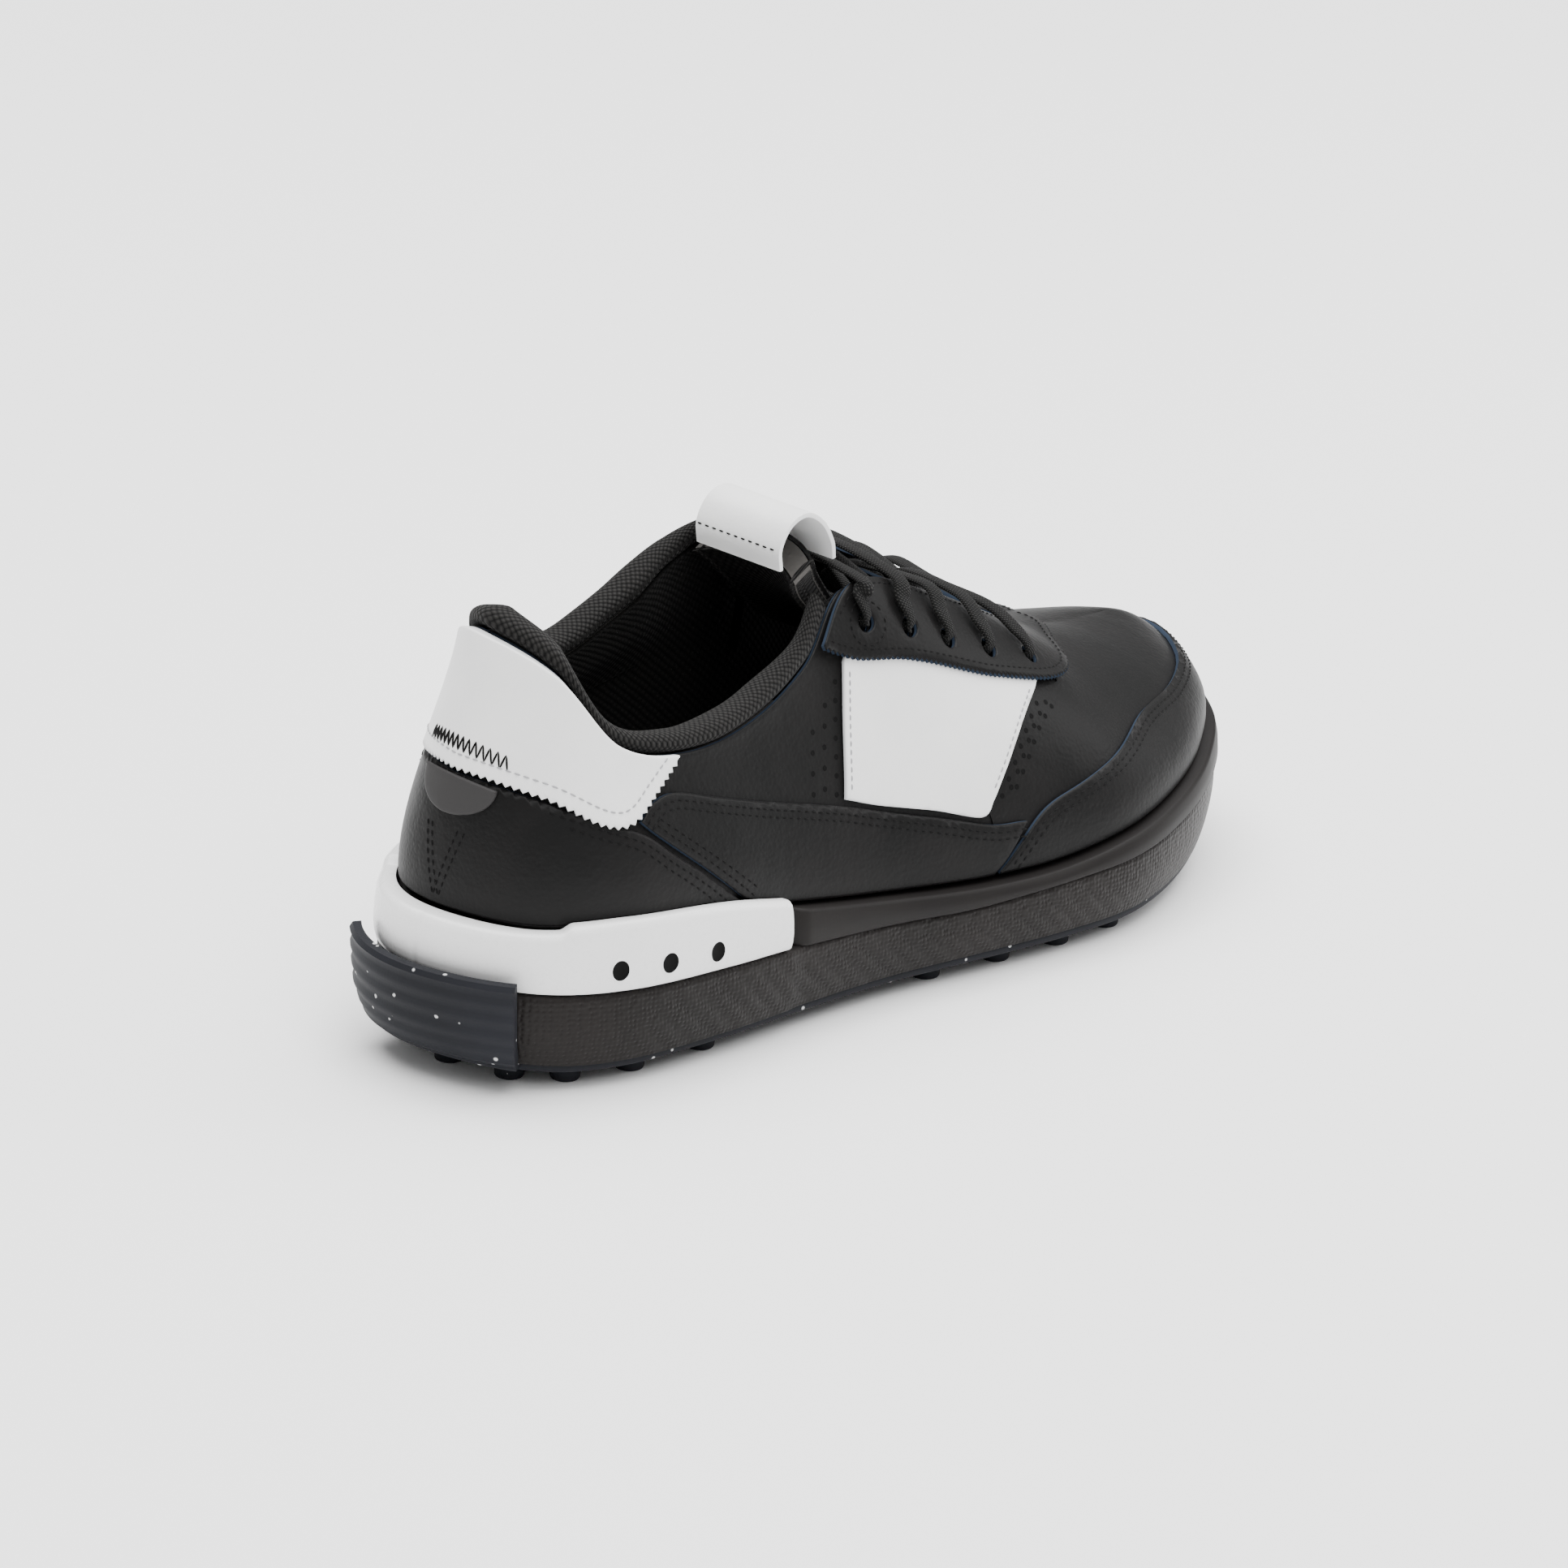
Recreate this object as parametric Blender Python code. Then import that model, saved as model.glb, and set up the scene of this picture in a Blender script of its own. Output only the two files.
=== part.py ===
"""Right golf shoe: a cup-soled, lace-up leather shoe built as separate pieces.

Frame: +X from heel to toe, -Y the outer (lateral) side, +Z up, origin on the
ground under the middle of the shoe.  Shape tables are in millimetres.

The upper is one smooth surface.  Its position is given by a station number u,
which runs once round the shoe from the heel (0) along the lateral side to the
toe (12) and back along the medial side, and by a height v from the edge of the
sole (0) to the top line, the throat or the ridge of the toe (1).  Every leather
panel is a patch of that surface, moved in or out along its normal.
"""
import bmesh
import bpy
import math
import numpy as np

MM = 0.001
GAP = 0.3            # clearance between touching pieces, mm
ORIGIN_SHIFT = (2.9, 2.7, 0.0)   # moves the tables' zero to the middle of the shoe

# ---------------------------------------------------------------- surface
# foot of the section, top of the section, lower handle (up, out),
# upper handle (down, out); heel to toe along the lateral side
LATERAL = [
    ((-140, 0, 44), (-126, 0, 115), (20, 2), (18, 1)),
    ((-132, -25, 44), (-119, -18, 107), (20, 4), (18, 3)),
    ((-111, -37, 44), (-107, -27, 88), (16, 4), (16, 4)),
    ((-80, -41, 41), (-85, -30, 81), (10, 3), (10, 2)),
    ((-51, -42, 35), (-60, -29, 82), (8, 2), (8, 1)),
    ((-20, -44, 30), (-35, -25, 91), (10, 2), (10, 3)),
    ((11, -49, 27), (-13, -17, 106), (16, 2), (10, 10)),
    ((38, -53, 27), (21, -15, 93), (16, 3), (8, 16)),
    ((64, -54, 30), (53, -11, 77), (14, 4), (3, 20)),
    ((88, -48, 33), (67, 2, 71), (13, 4), (0, 26)),
    ((110, -37, 36), (96, 4, 64), (12, 4), (0, 23)),
    ((130, -20, 39), (114, 7, 61), (10, 4), (0, 16)),
    ((143, 6, 40), (121, 8, 60), (9, 3), (0, 13)),
]
MEDIAL = [
    ((-134, 19, 44), (-118, 15, 110), (20, 2), (18, 2)),
    ((-112, 32, 44), (-103, 26, 98), (16, 3), (16, 3)),
    ((-80, 36, 42), (-80, 29, 91), (10, 3), (10, 2)),
    ((-48, 36, 38), (-58, 29, 97), (8, 2), (8, 1)),
    ((-18, 36, 34), (-37, 27, 107), (10, 2), (10, 3)),
    ((13, 39, 31), (-14, 21, 113), (16, 2), (10, 10)),
    ((40, 43, 29), (20, 19, 97), (16, 3), (8, 16)),
    ((66, 48, 31), (54, 15, 79), (14, 4), (3, 20)),
    ((92, 48, 34), (67, 2, 71), (13, 4), (0, 26)),
    ((115, 43, 37), (96, 4, 64), (12, 4), (0, 23)),
    ((133, 29, 39), (114, 7, 61), (10, 4), (0, 16)),
]
STATIONS = LATERAL + MEDIAL[::-1]
TURN = len(STATIONS)          # stations in one full turn, 24
TOE = TURN // 2               # station of the toe tip
RIDGE = 9.0                   # from here to the toe the two sides meet on top

# ---------------------------------------------------------------- layers, mm
BASE = (-1.2, 0.0)            # quarters and vamp
OVERLAY = (0.5, 1.7)          # foxings, saddles, toe guard, heel patch
SADDLE_INSIDE = 0.8           # the saddle bridges the hollow of the waist
SECOND_OVERLAY = (2.2, 3.3)   # eyestay, over the saddles
STIFFENER = (-2.6, -1.6)      # heel counter and toe puff
LINING = 1.1
COLLAR_FOAM = 4.5             # thickest foam

# ---------------------------------------------------------------- sole, mm
RIM_DROP = 1.0                # rim of the cup below the foot of the upper
RIM_OUT = 5.5                 # rim of the cup outside the foot of the upper
CLIP_ENDS = 3.75              # heel clip runs this many stations from the heel
LUG_RADIUS = 4.2
RUBBER = 2.2                  # thickness of the outsole plate
BED_GAP = 0.5
INSOLE_BOARD = 1.8
SOCKLINER = 5.0

COLOURS = {
    "leather": ((0.020, 0.020, 0.020), 0.45, 0.0),
    "white_leather": ((0.80, 0.80, 0.79), 0.45, 0.0),
    "textile": ((0.015, 0.015, 0.015), 0.9, 0.0),
    "foam": ((0.045, 0.042, 0.040), 0.6, 0.0),
    "rubber": ((0.035, 0.036, 0.042), 0.6, 0.0),
    "plastic": ((0.78, 0.78, 0.77), 0.25, 0.0),
    "board": ((0.35, 0.33, 0.30), 0.9, 0.0),
    "grey": ((0.10, 0.10, 0.10), 0.6, 0.0),
}


def clear_scene():
    for old in list(bpy.data.objects):
        bpy.data.objects.remove(old, do_unlink=True)


def material(name):
    """One Principled material per kind of stock."""
    if name in bpy.data.materials:
        return bpy.data.materials[name]
    colour, roughness, metallic = COLOURS[name]
    made = bpy.data.materials.new(name)
    made.use_nodes = True
    shader = made.node_tree.nodes["Principled BSDF"]
    shader.inputs["Base Color"].default_value = (*colour, 1.0)
    shader.inputs["Roughness"].default_value = roughness
    shader.inputs["Metallic"].default_value = metallic
    return made


def section(row):
    """Four control points of one station's section."""
    foot, top, low, high = row
    foot = np.array(foot, float)
    top = np.array(top, float)
    out = np.array([foot[0] - top[0], foot[1] - top[1], 0.0])
    out /= max(np.linalg.norm(out), 1e-6)
    up = np.array([0, 0, 1.0])
    return [foot, foot + up * low[0] + out * low[1], top - up * high[0] + out * high[1], top]


CONTROLS = np.array([section(row) for row in STATIONS])


def surface(u, v):
    """Point of the upper at station u and height v, mm."""
    u = np.asarray(u, float) % TURN
    i = np.floor(u).astype(int)
    t = (u - i)[..., None, None]
    a, b, c, d = (CONTROLS[(i + k) % TURN] for k in (-1, 0, 1, 2))
    p = 0.5 * (2 * b + (c - a) * t + (2 * a - 5 * b + 4 * c - d) * t**2 + (3 * b - a - 3 * c + d) * t**3)
    v = np.asarray(v, float)[..., None]
    w = 1 - v
    bezier = w**3 * p[..., 0, :] + 3 * w * w * v * p[..., 1, :] + 3 * w * v * v * p[..., 2, :] + v**3 * p[..., 3, :]
    return bezier + np.array(ORIGIN_SHIFT)


def normal(u, v):
    """Outward unit normal of the upper."""
    step = 1e-3
    v = np.clip(v, 2 * step, 1 - 2 * step)
    along = surface(u + step, v) - surface(u - step, v)
    upward = surface(u, v + step) - surface(u, v - step)
    n = np.cross(along, upward)
    return n / np.linalg.norm(n, axis=-1, keepdims=True)


def off_surface(u, v, offset):
    return surface(u, v) + normal(u, v) * offset


def smooth(low, high, x):
    t = np.clip((np.asarray(x, float) - low) / (high - low), 0, 1)
    return t * t * (3 - 2 * t)


def from_heel(u):
    """Stations from the heel, the same on both sides."""
    u = np.asarray(u, float) % TURN
    return np.minimum(u, TURN - u)


def add_solid(name, points, faces, stock, pivot=None):
    """Make one closed body from points in mm; it hangs from the pivot empty."""
    shift = np.array(pivot.location) if pivot else np.zeros(3)
    mesh = bpy.data.meshes.new(name)
    mesh.from_pydata([tuple(np.array(p) * MM - shift) for p in points], [], faces)
    bm = bmesh.new()
    bm.from_mesh(mesh)
    bmesh.ops.remove_doubles(bm, verts=bm.verts, dist=1e-6)
    bmesh.ops.recalc_face_normals(bm, faces=bm.faces)
    if bm.calc_volume(signed=True) < 0:
        bmesh.ops.reverse_faces(bm, faces=bm.faces)
    bm.to_mesh(mesh)
    bm.free()
    mesh.shade_smooth()
    mesh.set_sharp_from_angle(angle=math.radians(40))
    made = bpy.data.objects.new(name, mesh)
    made.data.materials.append(material(stock))
    bpy.context.collection.objects.link(made)
    if pivot:
        made.parent = pivot
    return made


# ---------------------------------------------------------------- builders
def shell(name, stock, us, low, high, rows, outside, inside, pivot=None):
    """A panel of the upper: stations us, heights low..high, between two offsets.

    Where both ends of the panel lie on the toe's ridge they are joined.
    """
    us = np.asarray(us, float)
    count = len(us)
    value = lambda f, *a: f(*a) if callable(f) else f
    lo = value(low, us) * np.ones(count)
    hi = value(high, us) * np.ones(count)
    t = np.linspace(0, 1, rows)
    u = np.repeat(us[:, None], rows, 1)
    v = lo[:, None] + (hi - lo)[:, None] * t[None, :]
    skins = [off_surface(u, v, np.asarray(value(f, u, v) * np.ones(u.shape))[..., None]) for f in (outside, inside)]
    ridge = (us >= RIDGE - 1e-6) & (us <= TURN - RIDGE + 1e-6) & (hi > 0.999)
    points = []
    index = np.zeros((2, count, rows), int)
    for s, skin in enumerate(skins):
        for i in range(count):
            for j in range(rows):
                mate = count - 1 - i
                if j == rows - 1 and ridge[i] and mate < i:
                    index[s, i, j] = index[s, mate, j]
                    continue
                here = skin[i, j]
                if j == rows - 1 and ridge[i]:
                    here = (skin[i, j] + skin[mate, j]) / 2
                index[s, i, j] = len(points)
                points.append(here)
    faces = []
    for i in range(count - 1):
        for j in range(rows - 1):
            a = [(i, j), (i + 1, j), (i + 1, j + 1), (i, j + 1)]
            faces.append([index[0][k] for k in a])
            faces.append([index[1][k] for k in a[::-1]])
        for j in (0, rows - 1):
            if j and ridge[i] and ridge[i + 1]:
                continue
            faces.append([index[0, i, j], index[1, i, j], index[1, i + 1, j], index[0, i + 1, j]])
    for i in (0, count - 1):
        for j in range(rows - 1):
            faces.append([index[0, i, j], index[0, i, j + 1], index[1, i, j + 1], index[1, i, j]])
    return add_solid(name, points, [list(dict.fromkeys(int(k) for k in f)) for f in faces], stock, pivot)


def sweep(name, stock, sections, pivot=None):
    """A bar: one outline per step, joined in order and closed at both ends."""
    steps, corners = len(sections), len(sections[0])
    points = [p for outline in sections for p in outline]
    faces = [list(range(corners)), list(range((steps - 1) * corners, steps * corners))[::-1]]
    for i in range(steps - 1):
        for j in range(corners):
            k = (j + 1) % corners
            faces.append([i * corners + j, i * corners + k, (i + 1) * corners + k, (i + 1) * corners + j])
    return add_solid(name, points, faces, stock, pivot)


STEP = 0.5                     # every piece shares these stations, so its facets nest
RING = np.arange(0, TURN, STEP)


def stations(first, last):
    """Shared stations strictly between two ends, with the ends added."""
    inside = np.arange(math.ceil(first / STEP), math.floor(last / STEP) + 1) * STEP
    inside = inside[(inside > first + 0.05) & (inside < last - 0.05)]
    return np.concatenate([[first], inside, [last]])


def edge(u, out, z):
    """Points beside the foot of the upper: `out` mm outside it, at height z."""
    u = np.asarray(u, float)
    foot = surface(u, np.zeros(u.shape))
    ahead = surface(u + 0.01, np.zeros(u.shape)) - surface(u - 0.01, np.zeros(u.shape))
    side = np.stack([ahead[..., 1], -ahead[..., 0]], -1)
    side /= np.linalg.norm(side, axis=-1, keepdims=True)
    moved = foot[..., :2] + side * (np.asarray(out) * np.ones(u.shape))[..., None]
    return np.concatenate([moved, (z * np.ones(u.shape))[..., None]], -1)


def foot_z(u):
    u = np.asarray(u, float)
    return surface(u, np.zeros(u.shape))[..., 2]


def ladder(ring, start):
    """Faces that close a ring, rung by rung from heel to toe."""
    n = len(ring)
    faces = [[start, start + 1, start + n - 1]]
    for i in range(1, n // 2 - 1):
        faces.append([start + i, start + i + 1, start + n - i - 1, start + n - i])
    faces.append([start + n // 2 - 1, start + n // 2, start + n // 2 + 1])
    return faces


def loft(name, stock, rings, pivot=None):
    """A body of stacked rings, closed by a ladder of faces at both ends."""
    n = len(rings[0])
    points = [p for ring in rings for p in ring]
    last = (len(rings) - 1) * n
    faces = ladder(rings[0], 0) + [f[::-1] for f in ladder(rings[-1], last)]
    for r in range(len(rings) - 1):
        for i in range(n):
            k = (i + 1) % n
            faces.append([r * n + i, r * n + k, (r + 1) * n + k, (r + 1) * n + i])
    return add_solid(name, points, faces, stock, pivot)


def smooth_path(route, per_span):
    """Catmull-Rom curve through the route's points."""
    route = np.array(route, float)
    ends = np.vstack([2 * route[0] - route[1], route, 2 * route[-1] - route[-2]])
    out = []
    for i in range(1, len(ends) - 2):
        a, b, c, d = ends[i - 1:i + 3]
        for t in np.arange(per_span) / per_span:
            out.append(0.5 * (2 * b + (c - a) * t + (2 * a - 5 * b + 4 * c - d) * t**2 + (3 * b - a - 3 * c + d) * t**3))
    out.append(route[-1])
    return np.array(out)


def tube(name, stock, path, radius, sides=6, pivot=None):
    """A round bar along a path, its outline carried along without twisting."""
    path = np.array(path)
    ahead = np.gradient(path, axis=0)
    ahead /= np.linalg.norm(ahead, axis=1, keepdims=True)
    across = np.cross(ahead[0], [0.3, 0.2, 0.9])
    sections = []
    for p, t in zip(path, ahead):
        across = across - t * np.dot(across, t)
        across /= np.linalg.norm(across)
        up = np.cross(t, across)
        turn = np.arange(sides) * 2 * math.pi / sides
        sections.append([p + radius * (math.cos(a) * across + math.sin(a) * up) for a in turn])
    return sweep(name, stock, sections, pivot)


# ---------------------------------------------------------------- heights along the shoe, mm
def along(x, table):
    """Height read from a short list of (x, height) pairs."""
    xs, zs = zip(*table)
    return np.interp(x, xs, zs)


def floor_z(x):
    """Floor of the cup."""
    return along(x, [(-60, 22.0), (-10, 17.0), (40, 13.0), (90, 15.0), (142, 24.0)])


def ledge_z(x):
    """Lower edge of the rim band, and of the heel clip."""
    return along(x, [(-148, 29.5), (-125, 27.0), (-60, 25.0), (5, 21.0), (60, 23.0), (100, 27.0), (148, 32.0)])


def under_z(x):
    """Underside of the rubber plate, above the ground between the lugs."""
    return along(x, [(-150, 8.0), (-125, 4.5), (60, 4.5), (80, 5.0), (110, 7.5), (150, 14.0)])


def ring(out, height, us=RING):
    """A closed ring around the shoe; height is a function of x or of u."""
    flat = edge(us, out, 0.0)
    flat[:, 2] = height(flat[:, 0] - ORIGIN_SHIFT[0])
    return flat


def in_clip(us):
    return (from_heel(us) <= CLIP_ENDS + STEP / 2 + 0.01).astype(float)


def clip_swell(us):
    """Extra thickness of the clip round the back of the heel."""
    return 2.0 * (1 - smooth(0.0, 1.6, from_heel(us)))


# ---------------------------------------------------------------- sole
def make_midsole():
    held = in_clip(RING)
    wall_top = RIM_OUT - 4.0 * held
    wall_low = 6.3 - 3.7 * held
    shelf = 5.3 + 0.7 * held + clip_swell(RING)
    rings = [
        ring(-8.0, floor_z),
        edge(RING, -6.5, foot_z(RING) - RIM_DROP),
        edge(RING, wall_top, foot_z(RING) - RIM_DROP),
        ring(wall_low, ledge_z),
        ring(shelf, lambda x: ledge_z(x) - 0.8),
        ring(shelf - 0.8, lambda x: (ledge_z(x) + under_z(x)) / 2),
        ring(shelf - 3.0, lambda x: under_z(x) + RUBBER + GAP),
    ]
    loft("midsole", "foam", rings)


def make_heel_clip():
    us = stations(-CLIP_ENDS + 0.06, CLIP_ENDS - 0.06)
    swell = clip_swell(us)
    top = foot_z(us) + 0.6 + 1.2 * smooth(1.3, 1.6, from_heel(us))
    flat = edge(us, 0.0, 0.0)
    low = ledge_z(flat[:, 0] - ORIGIN_SHIFT[0]) + 0.5
    corners = [
        edge(us, 2.3, top), edge(us, 2.3, foot_z(us) - 2.0), edge(us, 3.1, low),
        edge(us, 6.6 + swell, low), edge(us, 7.2 + swell, low + 5.0), edge(us, 6.6 + swell, top - 2.5),
        edge(us, 5.2 + swell, top),
    ]
    sections = [[corner[i] for corner in corners] for i in range(len(us))]
    sweep("heel_clip", "plastic", sections)


def lug_places():
    """Lugs: a row just inside the edge, and a shorter inner row at heel and ball."""
    places = []
    outer = list(np.arange(-3.0, 3.01, 0.75)) + list(np.arange(5.6, 18.5, 0.8))
    inner = [-2.2, -1.1, 1.1, 2.2] + [6.0, 6.9, 7.8, 8.8, 10.0, 14.0, 15.2, 16.2, 17.1, 18.0]
    for inset, row in ((-5.5, outer), (-21.0, inner)):
        for u in row:
            places.append(edge(np.array([u]), inset, 0.0)[0][:2])
    return places


def cylinder(centre, low, high, radius, taper=0.0, sides=10):
    """Points and faces of one upright cylinder, mm."""
    turn = np.arange(sides) * 2 * math.pi / sides
    points = []
    for z, r in ((low, radius - taper), (high, radius)):
        points += [(centre[0] + r * math.cos(a), centre[1] + r * math.sin(a), z) for a in turn]
    faces = [list(range(sides))[::-1], list(range(sides, 2 * sides))]
    for i in range(sides):
        k = (i + 1) % sides
        faces.append([i, k, sides + k, sides + i])
    return points, faces


def join_parts(parts):
    points, faces = [], []
    for some_points, some_faces in parts:
        faces += [[i + len(points) for i in f] for f in some_faces]
        points += list(some_points)
    return points, faces


def hidden(tool):
    tool.hide_render = True
    tool.display_type = "WIRE"
    return tool


def boolean(target, tool, operation):
    step = target.modifiers.new(operation.lower(), "BOOLEAN")
    step.operation = operation
    step.solver = "EXACT"
    step.object = tool


def make_outsole():
    """Rubber plate, round lugs and the ribbed tab behind the heel, moulded in one."""
    shelf = 2.6 + clip_swell(RING)
    rings = [ring(shelf, lambda x: under_z(x) + RUBBER), ring(shelf, under_z)]
    plate = loft("outsole", "rubber", rings)
    lugs = []
    for x, y in lug_places():
        plate_z = float(under_z(x - ORIGIN_SHIFT[0]))
        tread = 0.0 if x < 72 else plate_z - 4.5
        lugs.append(cylinder((x, y), tread, plate_z + 1.1, LUG_RADIUS, taper=0.5))
    points, faces = join_parts(lugs)
    boolean(plate, hidden(add_solid("lug_tool", points, faces, "rubber")), "UNION")
    us = stations(-0.95, 0.95)
    back = edge(us, 0, 0)
    low = under_z(back[:, 0] - ORIGIN_SHIFT[0])
    shift = clip_swell(us)
    corners = [edge(us, 0.5 + shift, low + 0.4), edge(us, 7.0 + shift, low + 1.5), edge(us, 12.0 + shift, 17.0),
               edge(us, 13.2 + shift, 31.0), edge(us, 10.0 + shift, 32.5), edge(us, 8.0 + shift, 20.0),
               edge(us, 6.8 + shift, low + 8.5), edge(us, 2.4 + shift, low + 1.9), edge(us, 0.5 + shift, low + 1.9)]
    tab = sweep("tab_tool", "rubber", [[c[i] for c in corners] for i in range(len(us))])
    boolean(plate, hidden(tab), "UNION")


def make_bed(pivot):
    """Insole board on the cup's floor, and the removable sockliner on the board."""
    board = floor_z
    rings = [ring(-9.0, lambda x: board(x) + BED_GAP + INSOLE_BOARD), ring(-9.0, lambda x: board(x) + BED_GAP)]
    loft("insole_board", "board", rings)
    base = 2 * BED_GAP + INSOLE_BOARD
    rings = [ring(-10.5, lambda x: board(x) + base + SOCKLINER - 1.0), ring(-8.8, lambda x: board(x) + base + SOCKLINER),
             ring(-8.6, lambda x: board(x) + base + 1.5), ring(-9.6, lambda x: board(x) + base)]
    loft("sockliner", "textile", rings, pivot)


# ---------------------------------------------------------------- upper
def foam_depth(u, v):
    """Collar padding between leather and lining, on top of a 1 mm backing."""
    d = from_heel(u)
    around = 1 - smooth(4.3, 5.4, d)
    backing = 1.0 - 0.7 * smooth(5.0, 5.6, d)
    return backing + COLLAR_FOAM * around * smooth(0.58, 0.8, v)


def toe_backing(u, v):
    return 0.5 + 0.5 * smooth(8.3, 9.2, from_heel(u))


SEAM = 7.94            # vamp and quarter meet here, under the saddle's front edge
FOOT_EDGE = 0.015      # panels start this far up the section
TOP_EDGE = 0.985


def row(number, top):
    """Height of one of the eight rows that the vamp, quarters and linings share."""
    return FOOT_EDGE + (top - FOOT_EDGE) * number / 7


def mirrored(us):
    """Stations on the medial side that answer to those on the lateral side."""
    return TURN - np.asarray(us)[::-1]


def make_upper():
    side = stations(0.03, SEAM - 0.03)
    shell("quarter_lateral", "leather", side, FOOT_EDGE, TOP_EDGE, 8, BASE[1], BASE[0])
    shell("quarter_medial", "leather", mirrored(side), FOOT_EDGE, TOP_EDGE, 8, BASE[1], BASE[0])
    front = stations(SEAM + 0.03, TOE)
    front = np.concatenate([front, mirrored(front)[1:]])
    shell("vamp", "leather", front, FOOT_EDGE, 1.0, 8, BASE[1], BASE[0])
    puff = stations(9.5, TURN - 9.5)
    shell("toe_puff", "board", puff, row(1, 1.0), 1.0, 7, STIFFENER[1], STIFFENER[0])
    counter = stations(-2.6, 2.6)
    shell("heel_counter", "board", counter, 0.04, 0.56, 5, STIFFENER[1], STIFFENER[0])
    collar = stations(-4.5, 4.5)
    shell("collar_foam", "foam", collar, row(4, TOP_EDGE), TOP_EDGE, 4, STIFFENER[1], lambda u, v: -1.2 - foam_depth(u, v))
    around = stations(-SEAM + 0.03, SEAM - 0.03)
    shell("quarter_lining", "textile", around, FOOT_EDGE, TOP_EDGE, 8,
          lambda u, v: -1.8 - foam_depth(u, v), lambda u, v: -1.8 - LINING - foam_depth(u, v))
    shell("vamp_lining", "textile", front, FOOT_EDGE, 1.0, 8,
          lambda u, v: -1.8 - toe_backing(u, v), lambda u, v: -1.8 - LINING - toe_backing(u, v))


def make_collar_binding():
    """Padded knit roll over the top edge of the collar."""
    us = stations(-5.6, 5.6)
    depth = 1.8 + LINING + foam_depth(us, np.ones(us.shape))
    out = normal(us, np.full(us.shape, 0.97))
    rise = surface(us, np.full(us.shape, 0.985)) - surface(us, np.full(us.shape, 0.95))
    rise /= np.linalg.norm(rise, axis=-1, keepdims=True)
    foot = surface(us, np.full(us.shape, TOP_EDGE))
    tall, sections = 3.0, []
    for i in range(len(us)):
        centre = foot[i] - out[i] * depth[i] / 2 + rise[i] * (GAP + tall)
        turn = np.arange(8) * math.pi / 4 + math.pi / 8
        sections.append([centre + out[i] * (depth[i] / 2 + 0.2) * math.cos(a) + rise[i] * tall * math.sin(a)
                         for a in turn])
    sweep("collar_binding", "textile", sections)


def outline(*corners):
    """Height of an edge as a function of station, from its corners (u, v)."""
    us, vs = zip(*corners)
    return lambda u: np.interp(u, us, vs)


def both_sides(lateral):
    """The same outline on the medial side."""
    return lambda u: lateral(TURN - np.asarray(u))


PATCH_LOW = outline((0, 0.50), (2.0, 0.55), (2.9, 0.975))
FOXING_TOP = outline((2.35, 0.69), (2.65, 0.76), (3.7, 0.59), (4.8, 0.43), (5.55, 0.29), (6.15, 0.21), (6.9, 0.19))
FOXING_REAR = outline((2.15, 0.60), (3.3, FOOT_EDGE), (6.13, FOOT_EDGE), (6.8, 0.22))
GUARD_TOP = outline((6.2, 0.03), (6.87, 0.23), (7.4, 0.28), (8.5, 0.38), (10.0, 0.44), (12.0, 0.46))
EYESTAY_LOW = outline((5.25, 0.975), (5.55, 0.81), (5.9, 0.70), (6.3, 0.66), (7.6, 0.65), (8.1, 0.69),
                      (9.0, 0.79), (9.3, 0.90), (9.4, 0.97))
SADDLE_TOP = outline((3.85, 0.61), (4.73, 0.79), (5.45, 0.86), (5.9, 0.74), (6.3, 0.70), (7.6, 0.69))
SADDLE_LOW = outline((3.85, 0.585), (4.8, 0.45), (5.55, 0.31), (6.2, 0.23), (6.8, 0.41), (7.55, 0.64))


def make_overlays():
    heel = stations(-3.2, 3.2)
    heel_top = outline((0, 0.48), (2.1, 0.53), (3.25, FOOT_EDGE + 0.01))
    shell("heel_foxing", "leather", heel, FOOT_EDGE, lambda u: heel_top(np.abs(u)), 4, OVERLAY[1], OVERLAY[0])
    patch = stations(-2.85, 2.85)
    shell("heel_patch", "white_leather", patch, lambda u: PATCH_LOW(np.abs(u)), TOP_EDGE, 4, OVERLAY[1], OVERLAY[0])
    tab = np.linspace(-0.55, 0.55, 9)
    shell("heel_tab", "grey", tab, lambda u: 0.475 - 0.13 * np.sqrt(1.02 - (u / 0.55) ** 2), 0.475, 3,
          SECOND_OVERLAY[1] - 0.4, SECOND_OVERLAY[0])
    side = stations(2.4, 6.72)
    shell("side_foxing_lateral", "leather", side, FOXING_REAR, FOXING_TOP, 6, OVERLAY[1], OVERLAY[0])
    shell("side_foxing_medial", "leather", mirrored(side), both_sides(FOXING_REAR), both_sides(FOXING_TOP), 6,
          OVERLAY[1], OVERLAY[0])
    half = stations(6.26, TOE)
    guard = np.concatenate([half, mirrored(half)[1:]])
    shell("toe_guard", "leather", guard, FOOT_EDGE, lambda u: GUARD_TOP(from_heel(u)), 6, OVERLAY[1], OVERLAY[0])
    band = stations(3.9, 7.5)
    shell("saddle_lateral", "white_leather", band, SADDLE_LOW, SADDLE_TOP, 8, OVERLAY[1], SADDLE_INSIDE)
    shell("saddle_medial", "white_leather", mirrored(band), both_sides(SADDLE_LOW), both_sides(SADDLE_TOP), 8,
          OVERLAY[1], SADDLE_INSIDE)
    arm = stations(5.3, 9.38)
    horseshoe = np.concatenate([arm, mirrored(arm)])
    shell("eyestay", "leather", horseshoe, lambda u: EYESTAY_LOW(from_heel(u)),
          lambda u: np.where(from_heel(u) < RIDGE, TOP_EDGE, 1.0), 4, SECOND_OVERLAY[1], SECOND_OVERLAY[0])


# ---------------------------------------------------------------- lacing
EYELETS = [(5.85, 0.83), (6.28, 0.77), (6.65, 0.75), (7.1, 0.74), (7.62, 0.74)]
EYELET_RADIUS = 3.0
LACE_RADIUS = 1.2
ON_TOP = SECOND_OVERLAY[1] + GAP + LACE_RADIUS
BENEATH = -(2.2 + LINING + GAP + LACE_RADIUS)


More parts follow.
